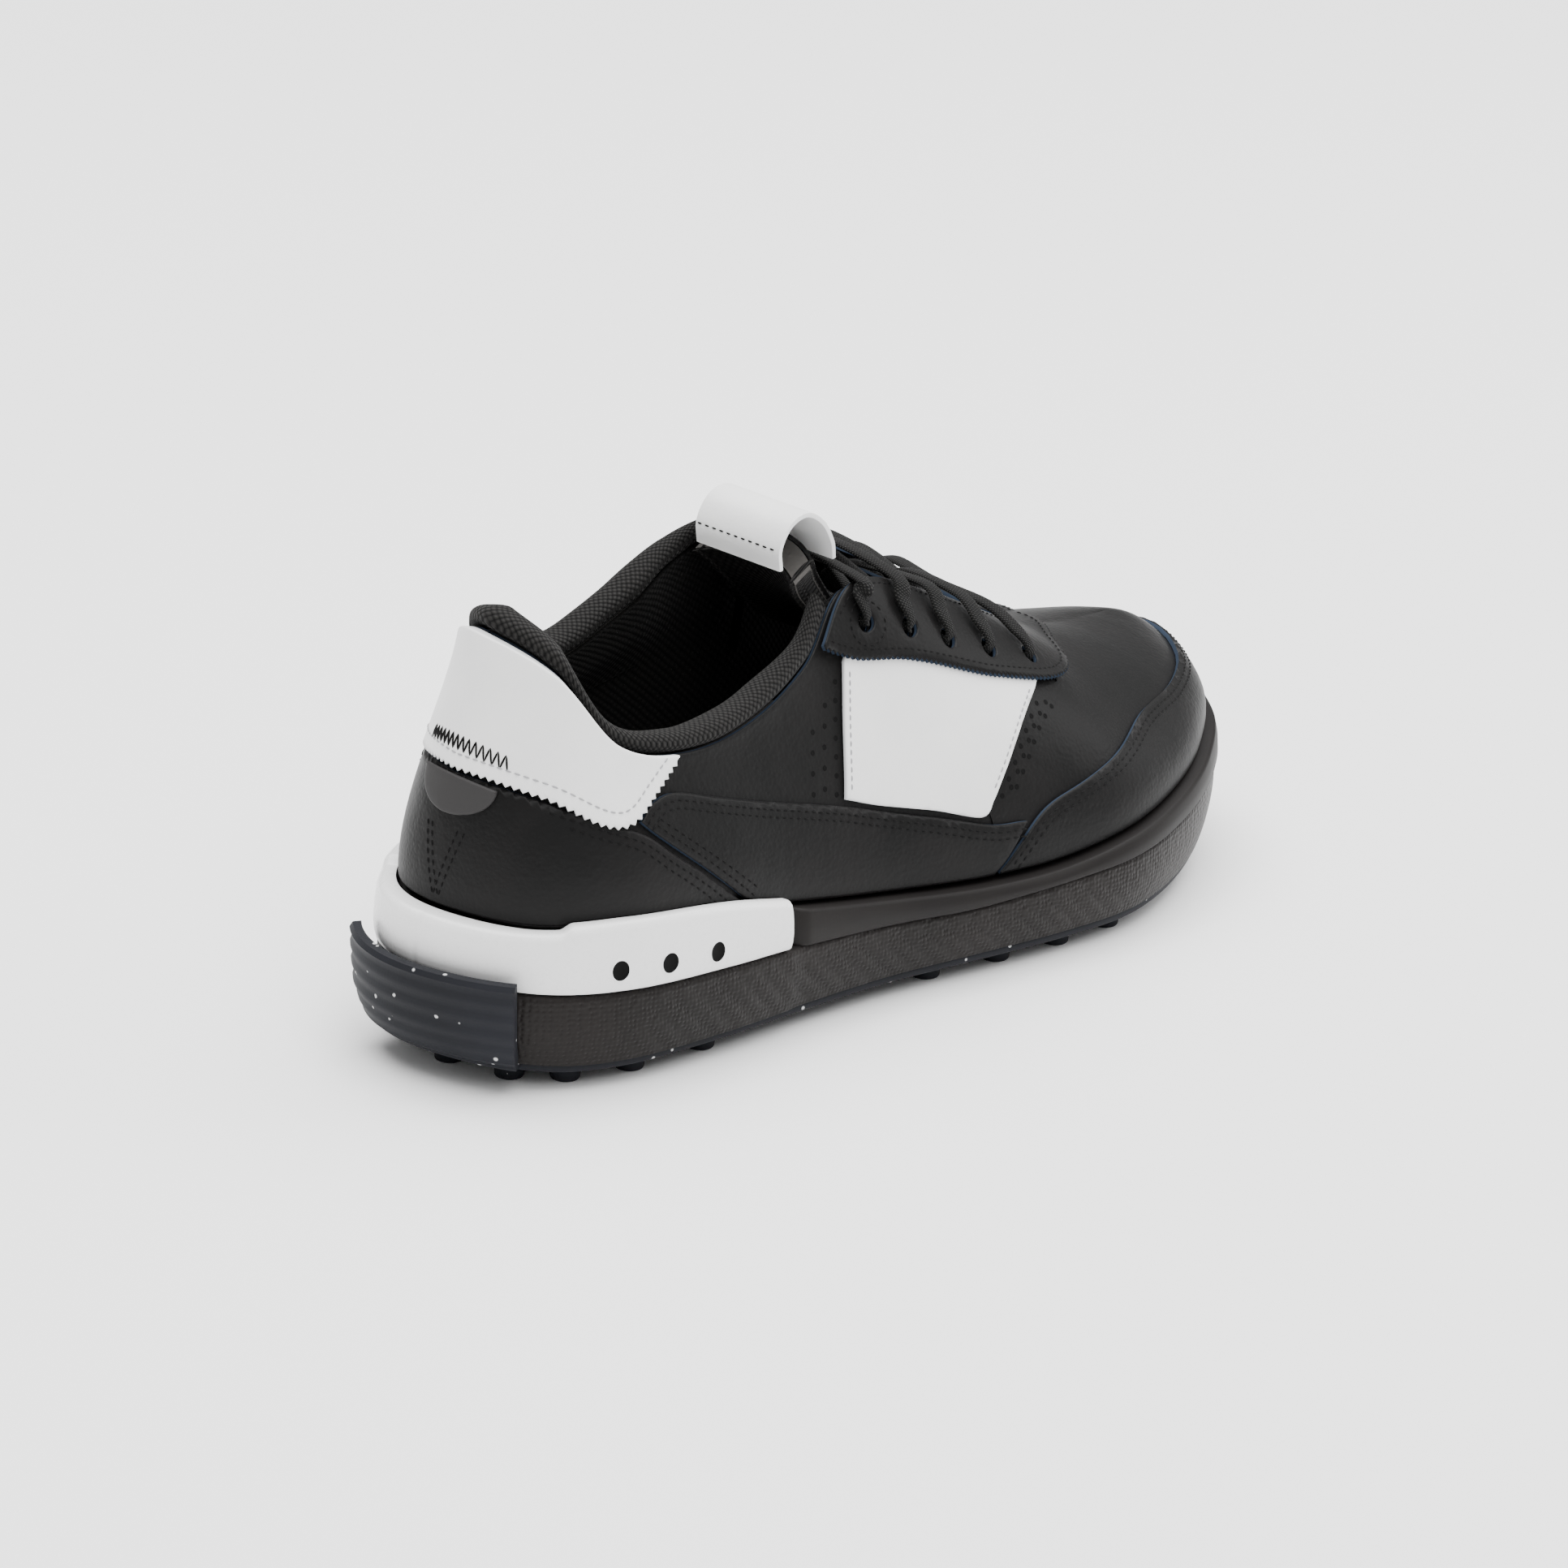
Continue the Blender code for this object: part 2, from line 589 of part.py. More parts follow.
def at(side, u, v, offset):
    """Point at a lateral-side station, on the lateral (0) or medial (1) side."""
    station = np.array(TURN - u if side else u)
    return off_surface(station, np.array(v), offset)


def cut_eyelets():
    holes = []
    for side in (0, 1):
        for u, v in EYELETS:
            low, high = at(side, u, v, -7.0), at(side, u, v, 7.0)
            axis = (high - low) / np.linalg.norm(high - low)
            across = np.cross(axis, (1, 0, 0))
            across /= np.linalg.norm(across)
            up = np.cross(axis, across)
            points, faces = cylinder((0, 0), 0, 1, EYELET_RADIUS, sides=8)
            placed = [low + across * p[0] + up * p[1] + (high - low) * p[2] for p in points]
            holes.append((placed, faces))
    points, faces = join_parts(holes)
    tool = hidden(add_solid("eyelet_tool", points, faces, "grey"))
    for name in ("eyestay", "quarter_lateral", "quarter_medial", "quarter_lining"):
        boolean(bpy.data.objects[name], tool, "DIFFERENCE")


def strand(start, lift):
    """One half of the lace, from the lowest eyelet up to the top one."""
    route, side = [], start
    for row in range(len(EYELETS) - 1, 0, -1):
        (u, v), (u_next, v_next) = EYELETS[row], EYELETS[row - 1]
        other = 1 - side
        middle = (u + u_next) / 2
        rise = at(side, u - 0.10, 1.0, 0.0)
        inward = np.array([0, 1.0 if side == 0 else -1.0, 0])
        centre = (at(0, middle, 1.0, 0.0) + at(1, middle, 1.0, 0.0)) / 2
        route += [
            at(side, u, v, 0.0),
            at(side, u - 0.01, v + 0.01, BENEATH),
            at(side, u - 0.05, v + 0.10, BENEATH - 0.3),
            at(side, u - 0.08, 0.95, BENEATH - 0.5),
            rise + inward * 5.2 + np.array([0, 0, -1.2]),
            centre + np.array([0, 0, 2.0 + lift]),
            at(other, u_next + 0.16, 0.97, ON_TOP + 0.9),
            at(other, u_next + 0.05, v_next + 0.09, ON_TOP + 0.5),
            at(other, u_next + 0.01, v_next + 0.01, ON_TOP - 0.4),
        ]
        side = other
    u, v = EYELETS[0]
    route += [at(side, u, v, 0.0), at(side, u - 0.01, v - 0.02, BENEATH), at(side, u - 0.05, v - 0.14, BENEATH - 1.2)]
    return route, side


def make_lace():
    """One lace: a bar over the lowest eyelets, crossings, and ends tucked inside."""
    first, side_a = strand(0, 0.0)
    second, side_b = strand(1, 3.1)
    u, v = EYELETS[-1]
    hole = [at(side, u, v + 0.01, ON_TOP - 0.4) for side in (0, 1)]
    over = [hole[0], at(0, u, v + 0.09, ON_TOP + 0.5), at(0, u, 0.97, ON_TOP + 0.9)]
    centre = (at(0, u, 1.0, 0.0) + at(1, u, 1.0, 0.0)) / 2 + np.array([0, 0, 5.4])
    back = [at(1, u, 0.97, ON_TOP + 0.9), at(1, u, v + 0.09, ON_TOP + 0.5), hole[1]]
    route = first[::-1] + over + [centre] + back + second
    for name, side, end in (("aglet", side_a, route[0]), ("aglet", side_b, route[-1])):
        u, v = EYELETS[0]
        tip = at(side, u - 0.35, v - 0.42, BENEATH - 1.2)
        direction = (tip - end) / np.linalg.norm(tip - end)
        start = end + direction * (GAP + 0.6)
        tube(f"{name}_{'medial' if side else 'lateral'}", "plastic", [start, start + direction * 16.0], 1.3)
    tube("lace", "textile", smooth_path(route, 2), LACE_RADIUS)


# ---------------------------------------------------------------- tongue
# centre line of the tongue's face (x, z), its half width, and the foam behind it
TONGUE = [
    ((84, 59.5), 12.0, 1.0), ((70, 64.5), 15.0, 1.5), ((50, 71.0), 17.0, 2.0), ((20, 86.0), 18.0, 2.5),
    ((2, 95.0), 17.0, 3.5), ((-8, 102.0), 14.5, 5.0), ((-14.5, 110.0), 14.0, 7.0), ((-18.5, 117.0), 18.0, 7.0),
]
TONGUE_BEND = 26.0       # radius of the tongue across the instep
TONGUE_MIDDLE = 1.5


def tongue_layer(name, stock, front, back, pivot):
    """One layer of the tongue between two depths behind its face."""
    rows = np.array([(*p, w, f) for p, w, f in TONGUE], float)
    line = smooth_path(rows, 2)
    ahead = np.gradient(line[:, :2], axis=0)
    ahead /= np.linalg.norm(ahead, axis=1, keepdims=True)
    face = np.stack([ahead[:, 1], -ahead[:, 0]], -1)
    across = np.linspace(-1, 1, 7)
    skins = []
    for depth in (front, back):
        skin = []
        for (x, z, half, foam), (nx, nz) in zip(line, face):
            y = across * half
            sink = -y * y / (2 * TONGUE_BEND) - depth(foam)
            skin.append(np.stack([x + nx * sink, y + TONGUE_MIDDLE, z + nz * sink], -1))
        skins.append(np.array(skin) + np.array(ORIGIN_SHIFT))
    sections = [list(skins[0][i]) + list(skins[1][i][::-1]) for i in range(len(line))]
    return sweep(name, stock, sections, pivot)


def make_tongue(pivot):
    tongue_layer("tongue_cover", "leather", lambda f: 0.0, lambda f: 1.2, pivot)
    tongue_layer("tongue_foam", "foam", lambda f: 1.5, lambda f: 1.5 + f, pivot)
    tongue_layer("tongue_lining", "textile", lambda f: 1.8 + f, lambda f: 2.8 + f, pivot)
    arch = smooth_path([(-14.0, 112.5), (-15.0, 117.5), (-19.0, 123.5), (-25.0, 126.8), (-31.0, 125.0),
                        (-34.5, 119.5), (-34.0, 113.5)], 2)
    ahead = np.gradient(arch, axis=0)
    ahead /= np.linalg.norm(ahead, axis=1, keepdims=True)
    sections = []
    for (x, z), (tx, tz) in zip(arch, ahead):
        inner, outer = (x - tz * 0.7, z + tx * 0.7), (x + tz * 0.7, z - tx * 0.7)
        corners = [(*inner, -14.0), (*outer, -14.0), (*outer, 16.0), (*inner, 16.0)]
        sections.append([np.array([px, y, pz]) + np.array(ORIGIN_SHIFT) for px, pz, y in corners])
    sweep("tongue_loop", "white_leather", sections, pivot)


def empty(name, place):
    made = bpy.data.objects.new(name, None)
    made.location = tuple((np.array(place) + np.array(ORIGIN_SHIFT)) * MM)
    bpy.context.collection.objects.link(made)
    return made


TONGUE_HINGE = (84.0, 0.0, 57.0)
SOCKLINER_HINGE = (134.0, 0.0, 25.0)


def main():
    clear_scene()
    make_midsole()
    make_heel_clip()
    make_outsole()
    make_bed(empty("sockliner_pivot", SOCKLINER_HINGE))
    make_upper()
    make_collar_binding()
    make_overlays()
    make_lace()
    cut_eyelets()
    make_tongue(empty("tongue_pivot", TONGUE_HINGE))


main()
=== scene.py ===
"""Looks of the right golf shoe: leather panels, stitching, knit, lacing and sole.

The upper is one smooth surface, the same one the solids were built on.  A place
on it is a station u (0 heel, 12 toe, 24 heel again; the lateral side is 0..12)
and a height v (0 at the sole, 1 at the top line or the toe's ridge).  Lengths
inside the shape functions are millimetres; objects are made in metres.
"""
import math

import bmesh
import bpy
import numpy as np
from mathutils import Matrix, Vector, geometry, kdtree


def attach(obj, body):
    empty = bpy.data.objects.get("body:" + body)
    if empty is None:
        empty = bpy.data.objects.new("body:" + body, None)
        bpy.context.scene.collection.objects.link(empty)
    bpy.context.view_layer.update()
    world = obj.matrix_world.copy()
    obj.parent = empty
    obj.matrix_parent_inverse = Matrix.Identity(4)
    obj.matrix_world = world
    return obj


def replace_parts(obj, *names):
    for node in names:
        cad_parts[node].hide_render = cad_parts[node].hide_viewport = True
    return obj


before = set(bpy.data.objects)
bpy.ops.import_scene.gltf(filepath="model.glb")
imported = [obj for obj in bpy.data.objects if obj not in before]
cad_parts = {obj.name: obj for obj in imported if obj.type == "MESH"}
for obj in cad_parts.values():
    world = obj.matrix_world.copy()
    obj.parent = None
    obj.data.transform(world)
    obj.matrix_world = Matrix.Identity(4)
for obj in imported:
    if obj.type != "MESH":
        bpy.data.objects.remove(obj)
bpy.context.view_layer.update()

MM = 0.001
SHIFT = np.array([2.9, 2.7, 0.0])     # the shape tables' zero in the row frame, mm

# ---------------------------------------------------------------- the upper's surface
# foot of the section, top of the section, lower handle (up, out),
# upper handle (down, out); heel to toe along each side
LATERAL = [
    ((-140, 0, 44), (-126, 0, 115), (20, 2), (18, 1)),
    ((-132, -25, 44), (-119, -18, 107), (20, 4), (18, 3)),
    ((-111, -37, 44), (-107, -27, 88), (16, 4), (16, 4)),
    ((-80, -41, 41), (-85, -30, 81), (10, 3), (10, 2)),
    ((-51, -42, 35), (-60, -29, 82), (8, 2), (8, 1)),
    ((-20, -44, 30), (-35, -25, 91), (10, 2), (10, 3)),
    ((11, -49, 27), (-13, -17, 106), (16, 2), (10, 10)),
    ((38, -53, 27), (21, -15, 93), (16, 3), (8, 16)),
    ((64, -54, 30), (53, -11, 77), (14, 4), (3, 20)),
    ((88, -48, 33), (67, 2, 71), (13, 4), (0, 26)),
    ((110, -37, 36), (96, 4, 64), (12, 4), (0, 23)),
    ((130, -20, 39), (114, 7, 61), (10, 4), (0, 16)),
    ((143, 6, 40), (121, 8, 60), (9, 3), (0, 13)),
]
MEDIAL = [
    ((-134, 19, 44), (-118, 15, 110), (20, 2), (18, 2)),
    ((-112, 32, 44), (-103, 26, 98), (16, 3), (16, 3)),
    ((-80, 36, 42), (-80, 29, 91), (10, 3), (10, 2)),
    ((-48, 36, 38), (-58, 29, 97), (8, 2), (8, 1)),
    ((-18, 36, 34), (-37, 27, 107), (10, 2), (10, 3)),
    ((13, 39, 31), (-14, 21, 113), (16, 2), (10, 10)),
    ((40, 43, 29), (20, 19, 97), (16, 3), (8, 16)),
    ((66, 48, 31), (54, 15, 79), (14, 4), (3, 20)),
    ((92, 48, 34), (67, 2, 71), (13, 4), (0, 26)),
    ((115, 43, 37), (96, 4, 64), (12, 4), (0, 23)),
    ((133, 29, 39), (114, 7, 61), (10, 4), (0, 16)),
]
STATIONS = LATERAL + MEDIAL[::-1]
TURN = len(STATIONS)
TOE = TURN / 2


def section(row):
    foot, top, low, high = row
    foot, top = np.array(foot, float), np.array(top, float)
    out = np.array([foot[0] - top[0], foot[1] - top[1], 0.0])
    out /= max(np.linalg.norm(out), 1e-6)
    up = np.array([0, 0, 1.0])
    return [foot, foot + up * low[0] + out * low[1], top - up * high[0] + out * high[1], top]


CONTROLS = np.array([section(row) for row in STATIONS])


def spline(a, b, c, d, t):
    """Catmull-Rom span from b to c."""
    return 0.5 * (2 * b + (c - a) * t + (2 * a - 5 * b + 4 * c - d) * t**2 + (3 * b - a - 3 * c + d) * t**3)


def surface(u, v):
    """Points of the upper, mm."""
    u = np.asarray(u, float) % TURN
    i = np.floor(u).astype(int)
    t = (u - i)[..., None, None]
    a, b, c, d = (CONTROLS[(i + k) % TURN] for k in (-1, 0, 1, 2))
    p = spline(a, b, c, d, t)
    v = np.asarray(v, float)[..., None]
    w = 1 - v
    return (w**3 * p[..., 0, :] + 3 * w * w * v * p[..., 1, :] + 3 * w * v * v * p[..., 2, :]
            + v**3 * p[..., 3, :] + SHIFT)


def slopes(u, v):
    """Change of the surface per station and per unit of height."""
    step = 2e-3
    v = np.clip(v, 2 * step, 1 - 2 * step)
    du = (surface(u + step, v) - surface(u - step, v)) / (2 * step)
    dv = (surface(u, v + step) - surface(u, v - step)) / (2 * step)
    return du, dv


def normal(u, v):
    du, dv = slopes(np.asarray(u, float), np.asarray(v, float))
    n = np.cross(du, dv)
    return n / np.linalg.norm(n, axis=-1, keepdims=True)


def skin(u, v, offset=0.0):
    """Surface points moved out by offset mm."""
    u, v = np.asarray(u, float), np.asarray(v, float)
    return surface(u, v) + normal(u, v) * (np.asarray(offset, float) * np.ones(u.shape))[..., None]


def smooth(low, high, x):
    t = np.clip((np.asarray(x, float) - low) / (high - low), 0, 1)
    return t * t * (3 - 2 * t)


def from_heel(u):
    u = np.asarray(u, float) % TURN
    return np.minimum(u, TURN - u)


def unit(a):
    return a / np.maximum(np.linalg.norm(a, axis=-1, keepdims=True), 1e-9)


# ---------------------------------------------------------------- outlines on the surface
def dense(corners, closed=True, spacing=1.0):
    """A polyline in (u, v) with points about `spacing` mm apart along the leather."""
    points = np.array(corners, float)
    if closed:
        points = np.vstack([points, points[:1]])
    out = []
    for a, b in zip(points[:-1], points[1:]):
        fine = a + (b - a) * np.linspace(0, 1, 9)[:, None]
        length = np.linalg.norm(np.diff(surface(fine[:, 0], fine[:, 1]), axis=0), axis=1).sum()
        steps = max(1, int(round(length / spacing)))
        out += [a + (b - a) * k / steps for k in range(steps)]
    if not closed:
        out.append(points[-1])
    return np.array(out)


def catmull(corners, per_span):
    """Smooth open curve through a list of points of any dimension."""
    p = np.array(corners, float)
    ends = np.vstack([2 * p[0] - p[1], p, 2 * p[-1] - p[-2]])
    out = []
    for i in range(1, len(ends) - 2):
        a, b, c, d = ends[i - 1:i + 3]
        for t in np.arange(per_span) / per_span:
            out.append(spline(a, b, c, d, t))
    return np.array(out + [p[-1]])


def curve(corners, per_span=8):
    """Smooth open curve through a few (u, v) points."""
    return catmull(corners, per_span)


def sideways(line, distance, closed=False):
    """Move a (u, v) polyline to its left by `distance` mm, measured on the leather."""
    line = np.asarray(line, float)
    if closed:
        ahead = np.roll(line, -1, axis=0) - np.roll(line, 1, axis=0)
    else:
        ahead = np.gradient(line, axis=0)
    du, dv = slopes(line[:, 0], line[:, 1])
    n = unit(np.cross(du, dv))
    forward = unit(du * ahead[:, :1] + dv * ahead[:, 1:])
    left = np.cross(n, forward)
    e, f, g = (du * du).sum(1), (du * dv).sum(1), (dv * dv).sum(1)
    a, b = (left * du).sum(1), (left * dv).sum(1)
    det = e * g - f * f
    move = np.stack([(g * a - f * b) / det, (e * b - f * a) / det], 1)
    return line + move * np.asarray(distance * np.ones(len(line)))[:, None]


def lengths(line):
    """Length along a (u, v) polyline on the leather, mm."""
    p = surface(line[:, 0], line[:, 1])
    return np.concatenate([[0], np.cumsum(np.linalg.norm(np.diff(p, axis=0), axis=1))])


def resample(line, spacing):
    s = lengths(line)
    count = max(2, int(round(s[-1] / spacing)) + 1)
    at = np.linspace(0, s[-1], count)
    return np.stack([np.interp(at, s, line[:, 0]), np.interp(at, s, line[:, 1])], 1)


def pinked(line, tooth=2.3, depth=1.15):
    """Saw-toothed copy of an open edge; the teeth point to the line's left."""
    fine = resample(np.asarray(line, float), tooth / 2)
    swing = np.where(np.arange(len(fine)) % 2 == 0, 0.0, depth)
    swing[0] = swing[-1] = 0
    return sideways(fine, swing)


def flip(line):
    """The same line on the other side of the shoe."""
    line = np.array(line, float)
    line[:, 0] = TURN - line[:, 0]
    return line[::-1]


# ---------------------------------------------------------------- materials
def node(tree, kind, **values):
    """A new node; each value goes to the input socket or property of that name."""
    made = tree.nodes.new(kind)
    for key, value in values.items():
        socket = key.replace("_", " ")
        if socket in made.inputs:
            made.inputs[socket].default_value = value
        else:
            setattr(made, key, value)
    return made


def linear(*srgb):
    """sRGB 0..255 to the shader's linear colour."""
    out = []
    for c in srgb:
        c /= 255
        out.append(c / 12.92 if c <= 0.04045 else ((c + 0.055) / 1.055) ** 2.4)
    return (*out, 1.0)


def base_material(name, colour, roughness, **sockets):
    made = bpy.data.materials.new(name)
    made.use_nodes = True
    shader = made.node_tree.nodes["Principled BSDF"]
    shader.inputs["Base Color"].default_value = colour
    shader.inputs["Roughness"].default_value = roughness
    if colour[0] < DARK:
        shader.inputs["Specular IOR Level"].default_value = 0.12
    for key, value in sockets.items():
        shader.inputs[key.replace("_", " ")].default_value = value
    return made, made.node_tree, shader


def ramp(tree, source, low, high, colour, other):
    """Colour that goes from one to the other between two values of the source."""
    made = node(tree, "ShaderNodeValToRGB")
    first, last = made.color_ramp.elements
    first.position, last.position = low, high
    first.color, last.color = colour, other
    tree.links.new(source, made.inputs["Fac"])
    return made.outputs["Color"]


def texture(tree, kind, where, **values):
    made = node(tree, kind, **values)
    tree.links.new(where, made.inputs["Vector"])
    return made


def threads(tree, cell, degrees):
    """The piece's own UVs, in cells of so many mm, turned."""
    size = (1.0 / cell, 1.0 / cell, 1.0)
    where = node(tree, "ShaderNodeUVMap").outputs["UV"]
    return texture(tree, "ShaderNodeMapping", where, Scale=size,
                   Rotation=(0, 0, math.radians(degrees))).outputs["Vector"]


def vary_colour(tree, shader, vector, colour, other, scale):
    """Broad, soft change between two close colours; returns its noise."""
    noise = texture(tree, "ShaderNodeTexNoise", vector, Scale=scale, Detail=3.0).outputs["Fac"]
    mixed = ramp(tree, noise, 0.35, 0.7, colour, other)
    tree.links.new(mixed, shader.inputs["Base Color"])
    return noise, mixed


def roughness_range(tree, shader, source, low, high):
    spread = node(tree, "ShaderNodeMapRange", To_Min=low, To_Max=high)
    tree.links.new(source, spread.inputs["Value"])
    tree.links.new(spread.outputs["Result"], shader.inputs["Roughness"])


def bump(tree, shader, height, distance, strength=1.0, before=None):
    """Bump of a real depth, in metres; chains onto an earlier one."""
    made = node(tree, "ShaderNodeBump", Distance=distance, Strength=strength)
    tree.links.new(height, made.inputs["Height"])
    if before:
        tree.links.new(before.outputs["Normal"], made.inputs["Normal"])
    tree.links.new(made.outputs["Normal"], shader.inputs["Normal"])
    return made


def leather(name, colour, other, roughness, grain=0.00010):
    """Grained leather: small cells, fine pores, broad creases, uneven polish."""
    made, tree, shader = base_material(name, colour, roughness)
    shader.inputs["Specular IOR Level"].default_value = 0.12 if colour[0] < DARK else 0.4
    where = node(tree, "ShaderNodeTexCoord").outputs["Object"]
    noise, _ = vary_colour(tree, shader, where, colour, other, 45.0)
    roughness_range(tree, shader, noise, roughness - 0.07, roughness + 0.08)
    folds = texture(tree, "ShaderNodeTexNoise", where, Scale=150.0, Detail=2.0)
    cells = texture(tree, "ShaderNodeTexVoronoi", where, feature="SMOOTH_F1", Scale=950.0, Randomness=1.0)
    pores = texture(tree, "ShaderNodeTexNoise", where, Scale=2600.0, Detail=2.0)
    first = bump(tree, shader, folds.outputs["Fac"], 0.0004, 0.35)
    second = bump(tree, shader, cells.outputs["Distance"], grain, 0.8, first)
    bump(tree, shader, pores.outputs["Fac"], grain * 0.4, 0.6, second)
    return made


def knit(name, colour, dot, cell, depth, sheen=0.04):
    """Open knit or spacer mesh: rows of rounded yarn loops, from the piece's own UVs in mm."""
    made, tree, shader = base_material(name, colour, 0.85, Sheen_Weight=sheen, Sheen_Roughness=0.4)
    where = threads(tree, cell, 45)
    loops = texture(tree, "ShaderNodeTexVoronoi", where, Scale=1.0, Randomness=0.12).outputs["Distance"]
    tree.links.new(ramp(tree, loops, 0.18, 0.62, dot, colour), shader.inputs["Base Color"])
    invert = node(tree, "ShaderNodeMapRange", From_Max=0.7, To_Min=1.0, To_Max=0.0)
    tree.links.new(loops, invert.inputs["Value"])
    bump(tree, shader, invert.outputs["Result"], depth)
    return made


def braid(name, colour, light, pitch):
    """Flat woven lace: two families of slanting yarns that cross, from UVs in mm."""
    made, tree, shader = base_material(name, colour, 0.8, Sheen_Weight=0.04)
    cross = node(tree, "ShaderNodeMath", operation="MULTIPLY")
    for socket, slant in zip(cross.inputs, (32, -32)):
        where = threads(tree, pitch, slant)
        wave = texture(tree, "ShaderNodeTexWave", where, Scale=0.5, Distortion=0.4)
        tree.links.new(wave.outputs["Fac"], socket)
    tree.links.new(ramp(tree, cross.outputs[0], 0.25, 0.85, colour, light), shader.inputs["Base Color"])
    bump(tree, shader, cross.outputs[0], 0.0004)
    return made


def moulded(name, colour, other, roughness, cell, depth, speckle=None):
    """Moulded foam or rubber: a fine pebble, and an optional scatter of pale flecks."""
    made, tree, shader = base_material(name, colour, roughness)
    where = node(tree, "ShaderNodeTexCoord").outputs["Object"]
    noise, mixed = vary_colour(tree, shader, where, colour, other, 30.0)
    roughness_range(tree, shader, noise, roughness - 0.05, roughness + 0.08)
    pebble = texture(tree, "ShaderNodeTexVoronoi", where, feature="SMOOTH_F1", Scale=1.0 / cell,
                     Randomness=0.35)
    bump(tree, shader, pebble.outputs["Distance"], depth)
    if speckle:
        flecks = texture(tree, "ShaderNodeTexVoronoi", where, Scale=210.0, Randomness=1.0)
        share = ramp(tree, flecks.outputs["Distance"], 0.10, 0.14, (1, 1, 1, 1), (0, 0, 0, 1))
        mix = node(tree, "ShaderNodeMix", data_type="RGBA")
        tree.links.new(share, mix.inputs[0])
        tree.links.new(mixed, mix.inputs[6])
        mix.inputs[7].default_value = speckle
        tree.links.new(mix.outputs[2], shader.inputs["Base Color"])
    return made


def plain(name, colour, roughness, wobble=0.00004, scale=600.0, **sockets):
    """Smooth moulded plastic or thread, with a slight surface wobble."""
    made, tree, shader = base_material(name, colour, roughness, **sockets)
    where = node(tree, "ShaderNodeTexCoord").outputs["Object"]
    noise = texture(tree, "ShaderNodeTexNoise", where, Scale=scale, Detail=2.0).outputs["Fac"]
    roughness_range(tree, shader, noise, roughness - 0.05, roughness + 0.06)
    bump(tree, shader, noise, wobble, 0.5)
    return made


def thread(name, colour):
    return plain(name, colour, 0.6, wobble=0.0001, scale=3000.0)


DARK = 0.2                            # below this the stock reflects less
BLACK_LEATHER = leather("black_leather", linear(15, 15, 15), linear(20, 19, 19), 0.44)
WHITE_LEATHER = leather("white_leather", linear(236, 236, 235), linear(229, 229, 229), 0.48, 0.00005)
CUT_EDGE = plain("cut_leather_edge", linear(40, 50, 64), 0.8)
PALE_EDGE = plain("white_leather_edge", linear(205, 206, 207), 0.7)
KNIT = knit("collar_knit", linear(5, 5, 5), linear(40, 39, 38), 1.25, 0.0005)
LINING = knit("lining_mesh", linear(4, 4, 4), linear(24, 23, 22), 1.7, 0.0004, sheen=0.02)
LACE = braid("lace_braid", linear(7, 7, 7), linear(42, 41, 39), 1.1)
RIM = moulded("rim_foam", linear(24, 22, 22), linear(29, 27, 26), 0.48, 0.0012, 0.00002)
PEBBLED = moulded("pebbled_foam", linear(25, 23, 22), linear(33, 30, 29), 0.42, 0.0013, 0.0005)
RUBBER = moulded("speckled_rubber", linear(27, 28, 32), linear(33, 34, 39), 0.55, 0.0010, 0.00003,
                 speckle=linear(200, 200, 200))
CLIP = plain("clip_plastic", linear(236, 236, 236), 0.28, Coat_Weight=0.25, Coat_Roughness=0.2)
# near-black stock for the perforations and clip windows: painted shade standing in for the depth of holes
# that are not cut
HOLE_SHADE = plain("painted_hole_shade", linear(6, 6, 6), 0.8)
GREY = plain("grey_trim", linear(52, 51, 51), 0.55)
BLACK_THREAD = thread("black_thread", linear(8, 8, 8))
WHITE_THREAD = thread("white_thread", linear(150, 150, 152))
FOAM = moulded("padding_foam", linear(70, 68, 66), linear(80, 78, 76), 0.9, 0.0015, 0.0002)
BOARD = plain("insole_board_stock", linear(150, 140, 125), 0.9)
BLACK_PLASTIC = plain("aglet_plastic", linear(8, 8, 8), 0.3)


# ---------------------------------------------------------------- mesh helpers
def add_mesh(name, points, faces, materials, slots=None, uvs=None, body="shoe",
             smooth_angle=50.0, weld=None):
    """One visible piece from points in mm; uvs are given per point."""
    mesh = bpy.data.meshes.new(name)
    mesh.from_pydata([tuple(p) for p in (np.asarray(points, float) * MM).tolist()], [],
                     [list(map(int, f)) for f in faces])
    for stock in materials:
        mesh.materials.append(stock)
    if slots is not None:
        mesh.polygons.foreach_set("material_index", np.asarray(slots, np.int32))
    if uvs is not None:
        layer = mesh.uv_layers.new(name="mm")
        order = np.zeros(len(mesh.loops), np.int32)
        mesh.loops.foreach_get("vertex_index", order)
        layer.data.foreach_set("uv", np.asarray(uvs, np.float32)[order].ravel())
    bm = bmesh.new()
    bm.from_mesh(mesh)
    if weld:
        bmesh.ops.remove_doubles(bm, verts=bm.verts, dist=weld * MM)
    bmesh.ops.recalc_face_normals(bm, faces=bm.faces)
    bm.to_mesh(mesh)
    bm.free()
    mesh.shade_smooth()
    mesh.set_sharp_from_angle(angle=math.radians(smooth_angle))
    made = bpy.data.objects.new(f"{name}_look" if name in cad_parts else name, mesh)
    bpy.context.collection.objects.link(made)
    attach(made, body)
    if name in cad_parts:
        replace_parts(made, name)
    return made


def bands(rows, corners, start=0):
    """Faces between one closed outline of points and the next."""
    faces = []
    for r in range(rows - 1):
        low, high = start + r * corners, start + (r + 1) * corners
        for k in range(corners):
            m = (k + 1) % corners
            faces.append([low + k, low + m, high + m, high + k])
    return faces


